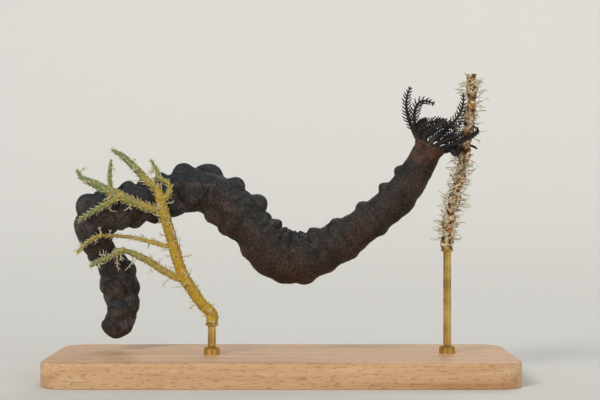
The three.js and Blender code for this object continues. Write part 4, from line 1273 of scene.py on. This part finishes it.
# Tentacles tan at the base, partly their own colour and partly a painted glow, then slate grey with black
# fingers
slate = coated(
    tree, TENTACLE_TAN_AND_GLOW, (TENTACLE_GREY, (arm, 0.04, 0.22)), (DIGIT_BLACK, (digit, 0.15, 0.6))
)
shade = strength(tree, (grain, 0.3, 0.7, 0.75, 1.25))
armed = add_node(tree, "HueSaturation", {"Color": slate, "Value": shade})["Color"]
coloured = coated(
    tree,
    mottled_and_shaded,
    (COLLAR_RED, collar, (cloud, 0.42, 0.58, 0.1, 0.8)),
    # Painted shade in folds, creases and hollows
    (CREASE_SHADE_DARK, (crease_and_painted_shade, 0.12, 0.8, 0, 0.85)),
    (SKIN_SPECK, dotted, (arm, 0, ARM_START, 1, 0)),
    (armed, (arm, 0, 0.03)),
)
wet = strength(tree, (grain, 0.3, 0.7, 0.55, 0.75))
tiny = add_node(tree, "Bump", {"Height": leather, "Distance": SKIN_BUMP, "Strength": 0.6})["Normal"]
raised = {"Height": dotted, "Distance": SKIN_BUMP, "Strength": 0.5, "Normal": tiny}
bumpy = add_node(tree, "Bump", raised)["Normal"]
wet_skin = {"Base Color": coloured, "Roughness": wet, "Specular IOR Level": 0.2, "Normal": bumpy}
shader = add_node(tree, "BsdfPrincipled", wet_skin)
add_node(tree, "OutputMaterial", {"Surface": shader["BSDF"]})
add_piece(skin, speckled_skin, animal_nodes)


# Studio. A plain pale floor that curves up all round, far from the model, under even soft light: the
# main light from the upper left, a weaker one from the right and one from above and behind. The
# camera stands level in front of the model, as the photographer was.
FLOOR_FLAT = 1.0
FLOOR_MIDDLE = 0.001
FLOOR_CURVE = 2.2
FLOOR_WALL = 3.0
FLOOR_SIDES = 96
FLOOR_STEPS = 14
FLOOR_PALE = "#d9d9d6"
WORLD_PALE = "#eef0f2"
WORLD_STRENGTH = 0.36

# Each light: name, where it comes from, how wide it is in degrees, strength and colour
LIGHTS = [
    ("key", (-0.62, -0.9, 0.75), 22, 1.7, "#fff8ee"),
    ("fill", (0.8, -0.9, 0.3), 28, 0.75, "#f2f6ff"),
    ("rim", (0.25, 0.9, 0.9), 20, 0.5, "#ffffff"),
]

CAMERA_AT = (0.0072, -0.6, 0.0712)
CAMERA_LENS = 90
CAMERA_SENSOR = 36

profile = [(FLOOR_MIDDLE, 0), (FLOOR_FLAT, 0)]
for turn in np.linspace(0, math.pi / 2, FLOOR_STEPS)[1:]:
    radius = FLOOR_FLAT + FLOOR_CURVE * math.sin(turn)
    profile.append((radius, FLOOR_CURVE * (1 - math.cos(turn))))
profile.append((FLOOR_FLAT + FLOOR_CURVE, FLOOR_WALL))
points, faces, _ = lathe(profile, FLOOR_SIDES)
without_top = faces[:-1]
floor_mesh = new_mesh("studio_floor", points, without_top, {})
floor_mesh.shade_smooth()

# Matt paper: even and pale, with no gloss.
matt_paper, tree = new_material("matt_paper")
shader = add_node(tree, "BsdfPrincipled", {"Base Color": linear(FLOOR_PALE), "Roughness": 0.9})
add_node(tree, "OutputMaterial", {"Surface": shader["BSDF"]})
floor_mesh.materials.append(matt_paper)
floor = bpy.data.objects.new("studio_floor", floor_mesh)
bpy.context.scene.collection.objects.link(floor)

# Its wall would keep the lights off the model, so it casts no shadow
floor.visible_shadow = False

for name, source, spread, power, colour in LIGHTS:
    lamp = bpy.data.lights.new(name, "SUN")
    lamp.angle = math.radians(spread)
    lamp.energy = power
    lamp.color = linear(colour)[:3]
    light = bpy.data.objects.new(name, lamp)
    light.rotation_mode = "QUATERNION"
    light.rotation_quaternion = (-Vector(source)).to_track_quat("-Z", "Y")
    bpy.context.scene.collection.objects.link(light)

world = bpy.data.worlds.new("studio_world")
world.use_nodes = True
world.node_tree.nodes.clear()
sky = add_node(world.node_tree, "Background", {"Color": linear(WORLD_PALE), "Strength": WORLD_STRENGTH})
add_node(world.node_tree, "OutputWorld", {"Surface": sky["Background"]})
bpy.context.scene.world = world
bpy.context.scene.view_settings.view_transform = "Standard"

lens = bpy.data.cameras.new("camera")
lens.lens = CAMERA_LENS
lens.sensor_width = CAMERA_SENSOR
camera = bpy.data.objects.new("camera", lens)
camera.location = CAMERA_AT
camera.rotation_euler = (math.pi / 2, 0, 0)
bpy.context.scene.collection.objects.link(camera)
bpy.context.scene.camera = camera
